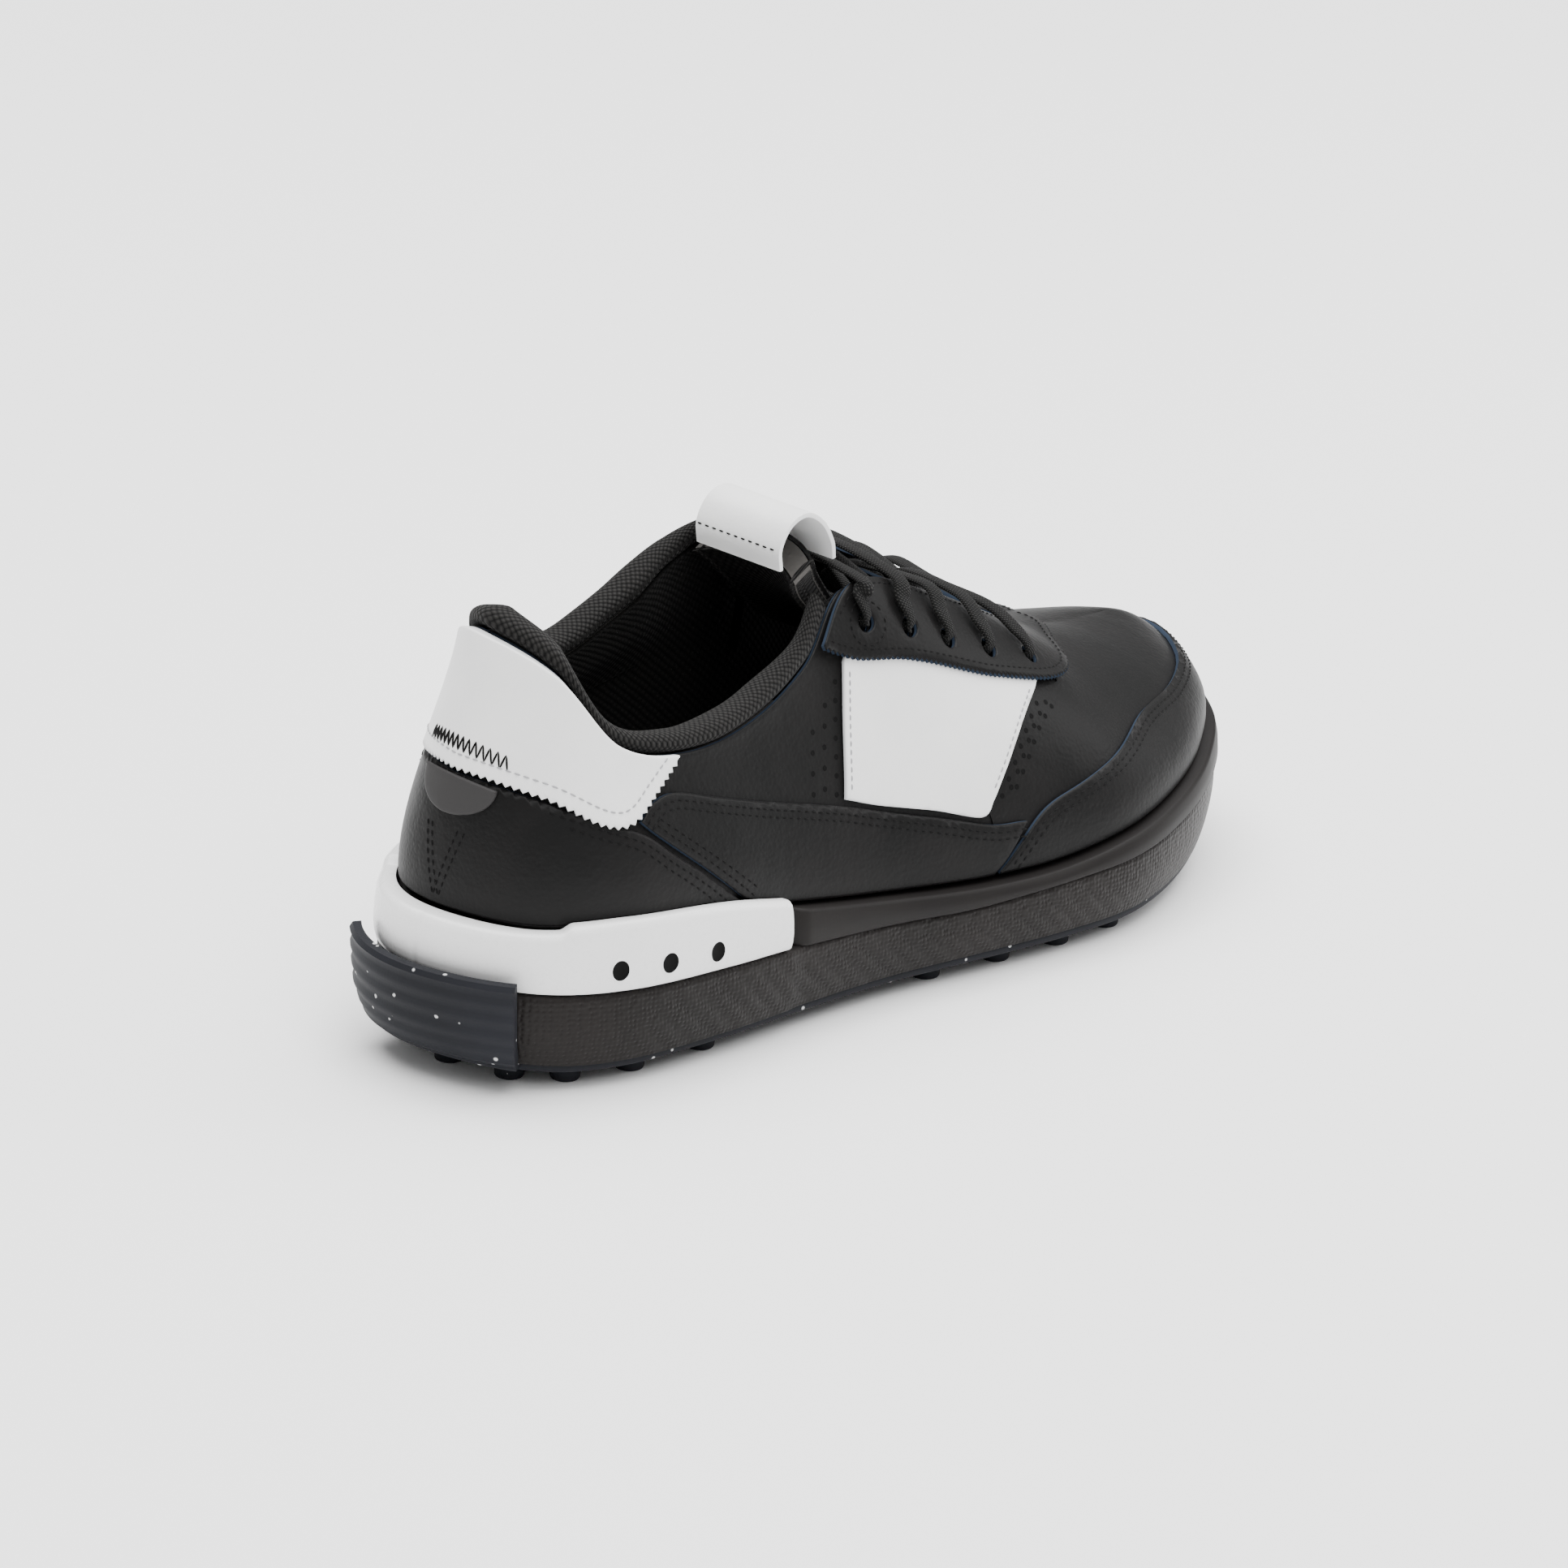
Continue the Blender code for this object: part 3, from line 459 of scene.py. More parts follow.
def inside_loop(points, loop):
    """Even-odd test of many points against one closed loop."""
    x, y = points[:, 0][:, None], points[:, 1][:, None]
    x0, y0 = loop[:, 0][None], loop[:, 1][None]
    x1, y1 = np.roll(loop[:, 0], -1)[None], np.roll(loop[:, 1], -1)[None]
    crosses = (y0 > y) != (y1 > y)
    at_x = x0 + (y - y0) * (x1 - x0) / np.where(y1 == y0, 1e-12, y1 - y0)
    return (np.sum(crosses & (x < at_x), axis=1) % 2) == 1


def within(points, rings):
    """True for points inside the first ring and outside the others, its holes."""
    keep = inside_loop(points, rings[0])
    for hole_ring in rings[1:]:
        keep &= ~inside_loop(points, hole_ring)
    return keep


def nearest(points, others):
    """Distance from each point to the closest of the others."""
    tree = kdtree.KDTree(len(others))
    for i, p in enumerate(others):
        tree.insert(p, i)
    tree.balance()
    return np.array([tree.find(p)[2] for p in points])


def panel(name, loop, top, bottom, stock, edge_stock, holes=(), spacing=2.6, rounding=0.8, seam=None):
    """A cut piece of leather laid on the surface, with rounded cut edges and real holes.

    loop and holes are closed (u, v) outlines.  Where seam(u, v) holds, the edge
    joins the panel's other half and isn't rounded.
    """
    loop = np.asarray(loop, float)
    du, dv = slopes(loop[:, 0], loop[:, 1])
    scale = np.array([np.linalg.norm(du, axis=1).mean(), np.linalg.norm(dv, axis=1).mean()])
    rings = [loop] + [np.asarray(h, float) for h in holes]
    is_seam = np.zeros(len(loop), bool) if seam is None else seam(loop[:, 0], loop[:, 1])
    free = [loop[~is_seam]] + rings[1:]
    border = np.vstack([surface(r[:, 0], r[:, 1]) for r in free])
    extra = []
    for r in rings:
        area = 0.5 * np.sum(r[:, 0] * np.roll(r[:, 1], -1) - np.roll(r[:, 0], -1) * r[:, 1])
        turn = 1 if (area > 0) == (r is rings[0]) else -1
        for depth in (0.3 * rounding, rounding):
            extra.append(sideways(r, turn * depth, closed=True))
    low, high = loop.min(0), loop.max(0)
    step = spacing / scale
    gu, gv = np.meshgrid(*(np.arange(low[k], high[k], step[k]) for k in (0, 1)), indexing="ij")
    gu = gu + (np.arange(gu.shape[1]) % 2)[None] * step[0] / 2
    grid = np.stack([gu.ravel(), gv.ravel()], 1)
    candidates = []
    for points, gap in [(e, 0.2 * rounding) for e in extra] + [(grid, rounding + 0.6)]:
        points = points[within(points, rings)]
        if len(points):
            far = nearest(surface(points[:, 0], points[:, 1]), border) > gap
            candidates.append(points[far])
    flat = np.vstack(rings + candidates)
    edges, start = [], 0
    for r in rings:
        edges += [(start + i, start + (i + 1) % len(r)) for i in range(len(r))]
        start += len(r)
    result = geometry.delaunay_2d_cdt([Vector(p) for p in (flat * scale).tolist()], edges, [], 0, 1e-4)
    flat = np.array([tuple(p) for p in result[0]]) / scale
    tris = np.array([f for f in result[2]], int)
    tris = tris[within(flat[tris].mean(1), rings)]
    used = np.unique(tris)
    remap = -np.ones(len(flat), int)
    remap[used] = np.arange(len(used))
    flat, tris = flat[used], remap[tris]
    here = surface(flat[:, 0], flat[:, 1])
    depth = np.clip(nearest(here, border) / rounding, 0, 1)
    crown = np.sqrt(1 - (1 - depth) ** 2)
    top_at = (top(flat[:, 0], flat[:, 1]) if callable(top) else top) * np.ones(len(flat))
    shoulder = top_at - 0.45 * (1 - crown)
    upper = skin(flat[:, 0], flat[:, 1], shoulder)
    bottom_at = bottom(flat[:, 0], flat[:, 1]) if callable(bottom) else bottom
    lower = skin(flat[:, 0], flat[:, 1], bottom_at)
    count = len(flat)
    ends = np.concatenate([tris[:, [0, 1]], tris[:, [1, 2]], tris[:, [2, 0]]])
    keys = np.sort(ends, axis=1)
    _, first, number = np.unique(keys, axis=0, return_index=True, return_counts=True)
    rim_edges = ends[first[number == 1]]
    if seam is not None:
        on = seam(flat[:, 0], flat[:, 1])
        rim_edges = rim_edges[~(on[rim_edges[:, 0]] & on[rim_edges[:, 1]])]
    faces = [list(t) for t in tris] + [list(t[::-1] + count) for t in tris]
    faces += [[b, a, a + count, b + count] for a, b in rim_edges]
    slots = [0] * (2 * len(tris)) + [1] * len(rim_edges)
    uvs = np.vstack([flat * scale, flat * scale])
    return add_mesh(name, np.vstack([upper, lower]), faces, [stock, edge_stock], slots, uvs)


def joined(name, pieces):
    """Join meshes into the first of them, and weld the seam between halves."""
    target = pieces[0]
    bm = bmesh.new()
    for piece in pieces:
        bm.from_mesh(piece.data)
    bmesh.ops.remove_doubles(bm, verts=bm.verts, dist=0.00003)
    bmesh.ops.recalc_face_normals(bm, faces=bm.faces)
    bm.to_mesh(target.data)
    bm.free()
    for piece in pieces[1:]:
        bpy.data.objects.remove(piece, do_unlink=True)
    target.name = f"{name}_look"
    return target


def cloth(name, us, vs, outside, inside, stock, ridge=False, shift=None):
    """A fine grid of the upper between two offsets; with ridge, both sides meet on top.

    shift moves the stations of each row, so that an end needn't be upright.
    """
    u, v = np.meshgrid(us, vs, indexing="ij")
    if shift:
        u = shift(u, v)
    value = lambda f: np.asarray(f(u, v) if callable(f) else f * np.ones(u.shape))
    skins = [skin(u, v, value(outside)), skin(u, v, value(inside))]
    rows, count = len(vs), len(us)
    if ridge:
        for s in skins:
            s[:, -1] = (s[:, -1] + s[::-1, -1]) / 2
    points = np.concatenate([s.reshape(-1, 3) for s in skins])
    across = np.cumsum(np.linalg.norm(np.diff(surface(us, np.full(count, 0.6)), axis=0), axis=1))
    across = np.concatenate([[0], across])
    tall = np.cumsum(np.linalg.norm(np.diff(surface(np.full(rows, us[0]), vs), axis=0), axis=1))
    tall = np.concatenate([[0], tall])
    uv = np.stack(np.meshgrid(across, tall, indexing="ij"), -1).reshape(-1, 2)
    half = count * rows
    index = np.arange(half).reshape(count, rows)
    faces = []
    for i in range(count - 1):
        for j in range(rows - 1):
            a = [index[i, j], index[i + 1, j], index[i + 1, j + 1], index[i, j + 1]]
            faces += [a, [k + half for k in a[::-1]]]
        for j in ((0,) if ridge else (0, rows - 1)):
            faces.append([index[i, j], index[i, j] + half, index[i + 1, j] + half, index[i + 1, j]])
    for i in (0, count - 1):
        for j in range(rows - 1):
            faces.append([index[i, j], index[i, j + 1], index[i, j + 1] + half, index[i, j] + half])
    return add_mesh(name, points, faces, [stock], None, np.vstack([uv, uv]),
                    weld=0.004 if ridge else None)


def stitches(name, lines, offset, stock, pitch=2.7, width=0.5, body="shoe", reach=0.80):
    """Rows of thread: each stitch is a short rounded bar whose ends dip into the leather."""
    sides, rings = 6, 5
    turn = np.arange(sides) * 2 * math.pi / sides
    along = np.linspace(-1, 1, rings)
    points, faces = [], []
    for line in lines:
        line = resample(np.asarray(line, float), pitch)
        at = (line[:-1] + line[1:]) / 2
        a, b = skin(line[:-1, 0], line[:-1, 1], offset), skin(line[1:, 0], line[1:, 1], offset)
        n = normal(at[:, 0], at[:, 1])
        for p, q, up in zip(a, b, n):
            points_here, faces_here = bar(p, q, up, width, turn, along, len(points), reach)
            points += points_here
            faces += faces_here
    made = add_mesh(name, points, faces, [stock], body=body)
    return made


def bar(p, q, up, width, turn, along, start, reach=0.80):
    middle, half = (p + q) / 2, (q - p) / 2 * reach
    side = unit(np.cross(half, up))
    points = []
    for t in along:
        swell = math.sqrt(max(0.0, 1 - t * t * 0.92))
        lift = 0.20 * (1 - t * t) - 0.12
        for a in turn:
            points.append(middle + half * t + up * (lift + 0.5 * width * swell * math.sin(a))
                          + side * (0.5 * width * swell * math.cos(a)))
    sides, rings = len(turn), len(along)
    faces = [list(range(start, start + sides))[::-1],
             list(range(start + (rings - 1) * sides, start + rings * sides))]
    return points, faces + bands(rings, sides, start)


def dimples(name, places, rows, body="shoe"):
    """Small round perforations: a dimple with a soft lip at each (centre, across, up, out), all in
    near-black painted shade standing in for the depth of a hole.
    """
    points, faces = [], []
    turn = np.arange(8) * math.pi / 4
    for centre, a, b, n in places:
        start = len(points)
        for r, h in rows:
            points += [centre + r * (math.cos(t) * a + math.sin(t) * b) + n * h for t in turn]
        faces.append([start + 16 + k for k in range(8)])
        faces += bands(3, 8, start)
    return add_mesh(name, points, faces, [HOLE_SHADE], body=body)


def on_leather(u, v, offset):
    """A place for a dimple: its centre on the surface and three directions."""
    u, v = np.array(u), np.array(v)
    du, dv = slopes(u, v)
    n = np.cross(du, dv)
    return skin(u, v, offset), unit(du), unit(np.cross(n, du)), unit(n)


def sweep(name, sections, stock, body="shoe", smooth_angle=50.0):
    """A bar of outlines joined in order, with UVs in mm along and around it."""
    sections = np.asarray(sections, float)
    steps, corners = sections.shape[:2]
    faces = [list(range(corners)), list(range((steps - 1) * corners, steps * corners))[::-1]]
    faces += bands(steps, corners)
    middle = sections.mean(1)
    far = np.concatenate([[0], np.cumsum(np.linalg.norm(np.diff(middle, axis=0), axis=1))])
    around = np.linalg.norm(np.roll(sections, -1, axis=1) - sections, axis=2).mean(0)
    around = np.concatenate([[0], np.cumsum(around)[:-1]])
    half = around[-1] / 2
    uv = np.stack(np.meshgrid(far, np.abs(around - half), indexing="ij"), -1).reshape(-1, 2)
    return add_mesh(name, sections.reshape(-1, 3), faces, [stock], None, uv, body=body,
                    smooth_angle=smooth_angle)


def flat_bar(line, ups, width, thick, corners=10):
    """Sections of a flat rounded band that follows a line with its face towards ups."""
    ahead = unit(np.gradient(line, axis=0))
    side = unit(np.cross(ahead, ups))
    up = np.cross(side, ahead)
    width = np.asarray(width) * np.ones(len(line))
    turn = np.arange(corners) * 2 * math.pi / corners
    c, s = np.cos(turn), np.sin(turn)
    across = np.sign(c) * np.abs(c) ** 0.7
    tall = np.sign(s) * np.abs(s) ** 0.8
    return (line[:, None] + side[:, None] * (across[None, :, None] * width[:, None, None] / 2)
            + up[:, None] * (tall[None, :, None] * thick / 2))


# ---------------------------------------------------------------- sole geometry
def along(x, table):
    xs, zs = zip(*table)
    return np.interp(x, xs, zs)


def softened(f, reach=8.0):
    """A height profile with its corners rounded over a few mm."""
    steps = np.linspace(-reach, reach, 7)
    return lambda x: sum(f(x + s) for s in steps) / len(steps)


floor_z = softened(lambda x: along(x, [(-60, 22.0), (-10, 17.0), (40, 13.0), (90, 15.0), (142, 24.0)]))
ledge_z = softened(lambda x: along(x, [(-148, 29.5), (-125, 27.0), (-60, 25.0), (5, 21.0), (60, 23.0),
                                       (100, 27.0), (148, 32.0)]))
under_z = softened(lambda x: along(x, [(-150, 8.0), (-125, 4.5), (60, 4.5), (80, 5.0), (110, 7.5),
                                       (150, 14.0)]))


def edge(u, out, z):
    """Points `out` mm outside the foot of the upper, at height z."""
    u = np.asarray(u, float)
    foot = surface(u, np.zeros(u.shape))
    ahead = surface(u + 0.01, np.zeros(u.shape)) - surface(u - 0.01, np.zeros(u.shape))
    side = unit(np.stack([ahead[..., 1], -ahead[..., 0]], -1))
    flat = foot[..., :2] + side * (np.asarray(out) * np.ones(u.shape))[..., None]
    return np.concatenate([flat, (np.asarray(z) * np.ones(u.shape))[..., None]], -1)


def foot_z(u):
    u = np.asarray(u, float)
    return surface(u, np.zeros(u.shape))[..., 2]


def foot_x(u):
    u = np.asarray(u, float)
    return surface(u, np.zeros(u.shape))[..., 0] - SHIFT[0]


def clip_swell(u):
    return 2.0 * (1 - smooth(0.0, 1.6, from_heel(u)))


def loft(name, rings, stocks, band_stocks, body="shoe", smooth_angle=50.0):
    """Stacked rings closed by a ladder of faces; band_stocks gives each band's material."""
    n = len(rings[0])
    points = np.vstack(rings)

    def ladder(start):
        faces = [[start, start + 1, start + n - 1]]
        for i in range(1, n // 2 - 1):
            faces.append([start + i, start + i + 1, start + n - i - 1, start + n - i])
        faces.append([start + n // 2 - 1, start + n // 2, start + n // 2 + 1])
        return faces

    last = (len(rings) - 1) * n
    faces = ladder(0)
    slots = [band_stocks[0]] * len(faces)
    bottom = [f[::-1] for f in ladder(last)]
    faces += bottom
    slots += [band_stocks[-1]] * len(bottom)
    faces += bands(len(rings), n)
    for stock_number in band_stocks[:len(rings) - 1]:
        slots += [stock_number] * n
    far = np.concatenate([[0], np.cumsum(np.linalg.norm(np.diff(rings[len(rings) // 2], axis=0), axis=1))])
    uv = np.vstack([np.stack([far, r[:, 2]], 1) for r in rings])
    return add_mesh(name, points, faces, stocks, slots, uv, body=body, smooth_angle=smooth_angle)


# ---------------------------------------------------------------- outlines of the panels
OVER = 1.7                    # outer face of the foxings, patch, guard and saddles
UNDER = 0.15                  # their inner face
STAY = 3.3                    # outer face of the eyestay
SIDES = ("lateral", "medial")
SEAM = 7.94                   # where vamp and quarter meet, under the saddle
FOOT, TOP = 0.015, 0.985
EYELETS = [(5.85, 0.83), (6.28, 0.77), (6.65, 0.75), (7.1, 0.74), (7.62, 0.74)]
EYELET_RADIUS = 2.7

PATCH_EDGE = curve([(0, 0.50), (1.1, 0.52), (1.95, 0.545), (2.43, 0.755), (2.86, 0.965)])
HEEL_TOP = curve([(0, 0.48), (1.1, 0.50), (2.08, 0.53), (2.55, 0.36), (3.22, 0.03)])
FOXING = curve([(2.2, 0.585), (2.38, 0.69), (2.68, 0.74), (3.12, 0.68), (3.7, 0.59), (4.78, 0.43),
                (5.55, 0.29), (6.15, 0.21), (6.6, 0.20)])
FOXING_REAR = curve([(2.2, 0.585), (2.66, 0.36), (3.32, FOOT)])
GUARD = curve([(6.2, 0.03), (6.48, 0.13), (6.87, 0.23), (7.4, 0.285), (8.48, 0.38), (9.98, 0.435),
               (12, 0.46)])
STAY_LOW = curve([(5.24, 0.975), (5.38, 0.87), (5.62, 0.76), (6.0, 0.69), (6.6, 0.655), (7.5, 0.65),
                  (8.15, 0.69), (8.75, 0.76), (9.15, 0.83), (9.34, 0.91), (9.4, 0.999)])


def hole(u, v, radius, corners=20):
    """A round outline on the surface."""
    du, dv = slopes(np.array(u), np.array(v))
    a = du / np.linalg.norm(du)
    b = np.cross(np.cross(du, dv), du)
    b /= np.linalg.norm(b)
    e, f, g = du @ du, du @ dv, dv @ dv
    out = []
    for t in np.arange(corners) * 2 * math.pi / corners:
        d = radius * (math.cos(t) * a + math.sin(t) * b)
        p, q = d @ du, d @ dv
        out.append([u + (g * p - f * q) / (e * g - f * f), v + (e * q - f * p) / (e * g - f * f)])
    return np.array(out)


def tidy(line):
    """Drop repeated points of a closed outline."""
    line = np.asarray(line, float)
    keep = np.linalg.norm(line - np.roll(line, 1, axis=0), axis=1) > 1e-4
    return line[keep]


def closed(*runs):
    return tidy(np.vstack(runs))


def straight(a, b, spacing=1.0):
    return dense([a, b], closed=False, spacing=spacing)


def level(v, first, last):
    """A row of points at one height."""
    return straight((first, v), (last, v), 1.2)


def half_sheet(name, side, us, v0, v1, offsets, stock, holes=()):
    loop = closed(level(v0, us[0], us[1]), straight((us[1], v0), (us[1], v1)), level(v1, us[1], us[0]),
                  straight((us[0], v1), (us[0], v0)))
    if side == "medial":
        loop, holes = flip(loop), [flip(h) for h in holes]
    return panel(name, loop, offsets[1], offsets[0], stock, CUT_EDGE, holes, spacing=3.0, rounding=0.5)


def by_side(side, line):
    return flip(line) if side == "medial" else np.asarray(line, float)


# ---------------------------------------------------------------- perforated strips beside the saddle
SADDLE_REAR = curve([(4.80, 0.455), (5.02, 0.60), (5.2, 0.70), (5.44, 0.805)], 6)
SADDLE_FRONT = curve([(6.33, 0.285), (6.6, 0.37), (6.95, 0.48), (7.45, 0.62)], 6)


def rows_of_dots(rear, front, count, pitch, margin=0.08):
    """Staggered perforations between two edges of a strip."""
    rear, front = resample(rear, 1.0), resample(front, 1.0)
    spots = []
    for k in range(count):
        share = margin + (1 - 2 * margin) * (k / max(1, count - 1))
        n = min(len(rear), len(front))
        a = rear[np.linspace(0, len(rear) - 1, n).astype(int)]
        b = front[np.linspace(0, len(front) - 1, n).astype(int)]
        line = resample(a + (b - a) * share, pitch)
        shift = 0.5 if k % 2 else 0.0
        for i in range(len(line) - 1):
            spots.append(line[i] + (line[i + 1] - line[i]) * (0.25 + shift * 0.5))
    return spots


# ---------------------------------------------------------------- upper
def vamp_stations(u, v):
    """The vamp's rear edge slants back under the saddle's front edge."""
    start = np.interp(v, [0.285, 0.37, 0.48, 0.60, 0.66], [6.23, 6.5, 6.85, 7.3, SEAM + 0.008])
    d = from_heel(u)
    moved = start + (d - SEAM - 0.008) / (TOE - SEAM - 0.008) * (TOE - start)
    return np.where(u > TOE, TURN - moved, moved)


def round_the_toe(first, count):
    """Stations from one side, round the toe, to the same place on the other side."""
    half = np.linspace(first, TOE, count)
    return np.concatenate([half, TURN - half[-2::-1]])


def lapped(u):
    """1 where the vamp lies over the quarter, 0 in front of it."""
    return 1 - smooth(SEAM, SEAM + 0.25, from_heel(u))


def build_upper():
    eyelet_holes = [hole(u, v, EYELET_RADIUS + 0.5) for u, v in EYELETS]
    for side in SIDES:
        name = f"quarter_{side}"
        half_sheet(name, side, (0.03, SEAM - 0.002), FOOT, TOP, (-1.2, 0.0), BLACK_LEATHER,
                   eyelet_holes)
    us = round_the_toe(SEAM + 0.008, 56)
    cloth("vamp", us, np.linspace(FOOT, 1.0, 44), lambda u, v: 0.3 * lapped(u),
          lambda u, v: 1.3 * lapped(u) - 1.2, BLACK_LEATHER, ridge=True,
          shift=vamp_stations)


def build_overlays():
    heel = closed(straight((-3.22, FOOT), (3.22, FOOT)), HEEL_TOP[::-1], (HEEL_TOP * [-1, 1]))
    panel("heel_foxing", heel, OVER, UNDER, BLACK_LEATHER, CUT_EDGE)
    teeth = pinked(PATCH_EDGE, 2.3, -1.0)
    teeth_other = (teeth * [-1, 1])[::-1]
    patch = closed(teeth_other, teeth, straight((2.86, 0.965), (2.86, TOP)), level(TOP, 2.86, -2.86),
                   straight((-2.86, TOP), (-2.86, 0.965)))
    lifted = lambda u, v: UNDER + 1.6 * (1 - smooth(0.62, 0.80, v))
    panel("heel_patch", patch, 2.6, lifted, WHITE_LEATHER, PALE_EDGE, rounding=0.6)
    arc = [(0.55 * math.cos(t), 0.475 - 0.125 * math.sin(t)) for t in np.linspace(0, math.pi, 25)]
    tab = closed(dense(arc, closed=False, spacing=0.8), straight(arc[-1], arc[0]))
    panel("heel_tab", tab[::-1], 2.9, 1.9, GREY, GREY, spacing=1.6, rounding=0.6)
    for side in SIDES:
        low_front = straight((6.13, FOOT), FOXING[-1])
        fox = closed(FOXING_REAR[-1:], level(FOOT, 3.32, 6.13), low_front, FOXING[::-1], FOXING_REAR)
        panel(f"side_foxing_{side}", by_side(side, fox), OVER, UNDER, BLACK_LEATHER, CUT_EDGE)
        low = curve([(4.80, 0.455), (5.2, 0.375), (5.6, 0.305), (6.1, 0.235), (6.33, 0.285)], 6)
        high = dense([(7.45, 0.62), (7.56, 0.655), (7.5, 0.69), (6.5, 0.69), (5.95, 0.725), (5.6, 0.82),
                      (5.44, 0.805)], closed=False, spacing=1.5)
        saddle = closed(SADDLE_REAR[::-1], low[1:], SADDLE_FRONT[1:], high[1:])
        panel(f"saddle_{side}", by_side(side, saddle), 1.6, 0.4, WHITE_LEATHER, PALE_EDGE,
              rounding=0.7)
    guard_top = np.vstack([GUARD, flip(GUARD)[1:]])
    guard = closed(straight((6.2, FOOT), (TURN - 6.2, FOOT)), guard_top[::-1])
    panel("toe_guard", guard, OVER, UNDER, BLACK_LEATHER, CUT_EDGE)


def build_eyestay():
    """One horseshoe of leather with pinked outer edges, built as two joined halves."""
    halves = []
    eyelet_holes = [hole(u, v, EYELET_RADIUS) for u, v in EYELETS]
    teeth = pinked(STAY_LOW, 1.7, -0.8)
    teeth[-1] = STAY_LOW[-1]
    for side in SIDES:
        throat = level(TOP, 8.9, 5.24)
        bridge = straight((9.4, 0.9985), (9.0, 0.9985))
        loop = closed(teeth, bridge, [(8.95, 0.99)], throat)
        on_ridge = lambda u, v: (v > 0.998) & (from_heel(u) > 9.005)
        halves.append(panel(f"eyestay_{side}", by_side(side, loop), STAY, 1.85, BLACK_LEATHER, CUT_EDGE,
                            [by_side(side, h) for h in eyelet_holes], spacing=2.0,
                            rounding=0.6, seam=on_ridge))
    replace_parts(joined("eyestay", halves), "eyestay")


def build_threads():
    rows = []
    for side in SIDES:
        pick = lambda line: by_side(side, line)
        rows += [pick(sideways(FOXING, -d)) for d in (2.0, 4.0)]
        rows += [pick(sideways(FOXING_REAR[2:], d)) for d in (2.0, 4.0)]
        rows += [pick(sideways(GUARD[3:], -d)) for d in (2.0, 4.0)]
        rows.append(pick(sideways(HEEL_TOP[8:], -2.0)))
        rows.append(pick(sideways(HEEL_TOP[10:], -4.0)))
    stitches("overlay_stitches", rows, OVER - 0.05, BLACK_THREAD, pitch=2.6, width=0.55)
    stay = [by_side(side, sideways(STAY_LOW[3:-2], 2.0)) for side in SIDES]
    ring = [by_side(side, hole(*EYELETS[0], 6.0, 28)) for side in SIDES]
    throat = [by_side(side, level(0.945, 5.6, 8.7)) for side in SIDES]
    stitches("eyestay_stitches", stay + throat + ring, STAY - 0.05, BLACK_THREAD,
             pitch=2.3, width=0.5)
    white = []
    for side in SIDES:
        white.append(by_side(side, sideways(SADDLE_REAR[1:-1], -1.6)))
        white.append(by_side(side, sideways(SADDLE_FRONT[1:-1], 1.6)))
    edges = [by_side(side, sideways(PATCH_EDGE[:-2], 3.2)) for side in SIDES]
    stitches("patch_stitches", edges, 2.6, WHITE_THREAD, pitch=2.3, width=0.5)
    stitches("saddle_stitches", white, 1.6, WHITE_THREAD, pitch=2.3, width=0.5)
    zig = [(u, 0.575 + 0.028 * (1 if k % 2 else -1)) for k, u in enumerate(np.linspace(-0.62, 0.62, 29))]
    back = [[(-0.20, 0.31), (0.04, 0.05)], [(0.20, 0.31), (-0.04, 0.05)], [(-0.28, 0.31), (-0.04, 0.05)],
            [(0.28, 0.31), (0.04, 0.05)]]
    stitches("heel_stitches", [dense(line, closed=False) for line in back], OVER - 0.05, BLACK_THREAD,
             pitch=2.4, width=0.55)
    strokes = [np.array(zig[k:k + 2]) for k in range(len(zig) - 1)]
    stitches("patch_zigzag", strokes, 2.6, BLACK_THREAD, pitch=9.0, width=0.6, reach=0.97)


def build_perforations():
    rear = curve([(4.45, 0.50), (4.6, 0.62), (4.72, 0.70), (4.80, 0.76)], 6)
    front = curve([(6.62, 0.30), (6.95, 0.40), (7.3, 0.50), (7.68, 0.58)], 6)
    spots = rows_of_dots(rear, sideways(SADDLE_REAR, 1.5), 3, 5.0)
    ahead = rows_of_dots(sideways(SADDLE_FRONT, -2.2), front, 3, 5.0)
    for name, group, offset in (("rear", spots, 0.03), ("front", ahead, 0.33)):
        both = [tuple(p) for p in group] + [(TURN - p[0], p[1]) for p in group]
        places = [on_leather(u, v, offset) for u, v in both]
        dimples(f"perforations_{name}", places, ((0.775, 0.0), (0.62, 0.07), (0.465, 0.02)))


build_upper()
build_overlays()
build_eyestay()
build_threads()
build_perforations()


# ---------------------------------------------------------------- lining and collar
def foam_depth(u, v):
    d = from_heel(u)
    return 1.0 - 0.7 * smooth(5.0, 5.6, d) + 4.5 * (1 - smooth(4.3, 5.4, d)) * smooth(0.58, 0.8, v)


def toe_backing(u):
    return 0.5 + 0.5 * smooth(8.3, 9.2, from_heel(u))


def collar_ring(us):
    """Cross sections of the padded roll over the collar's top edge."""
    depth = 2.9 + foam_depth(us, np.ones(us.shape))
    out = normal(us, np.full(us.shape, 0.97))
    rise = unit(surface(us, np.full(us.shape, 0.985)) - surface(us, np.full(us.shape, 0.95)))
    foot = surface(us, np.full(us.shape, TOP))
    sections = []
    for i, u in enumerate(us):
        puff = 1.0 + 0.03 * math.sin(2.3 * u) + 0.02 * math.sin(7.1 * u + 1)
        centre = foot[i] - out[i] * depth[i] / 2 + rise[i] * 3.3
        turn = np.arange(24) * math.pi / 12
        ring = []
        for a in turn:
            c, s = math.cos(a), math.sin(a)
            wide, tall = abs(c) ** 0.8 * math.copysign(1, c), abs(s) ** 0.9 * math.copysign(1, s)
            half = depth[i] / 2 + (0.55 if c > 0 else 0.25)
            ring.append(centre + out[i] * half * wide * puff + rise[i] * 3.0 * tall * puff)
        sections.append(ring)
    return sections


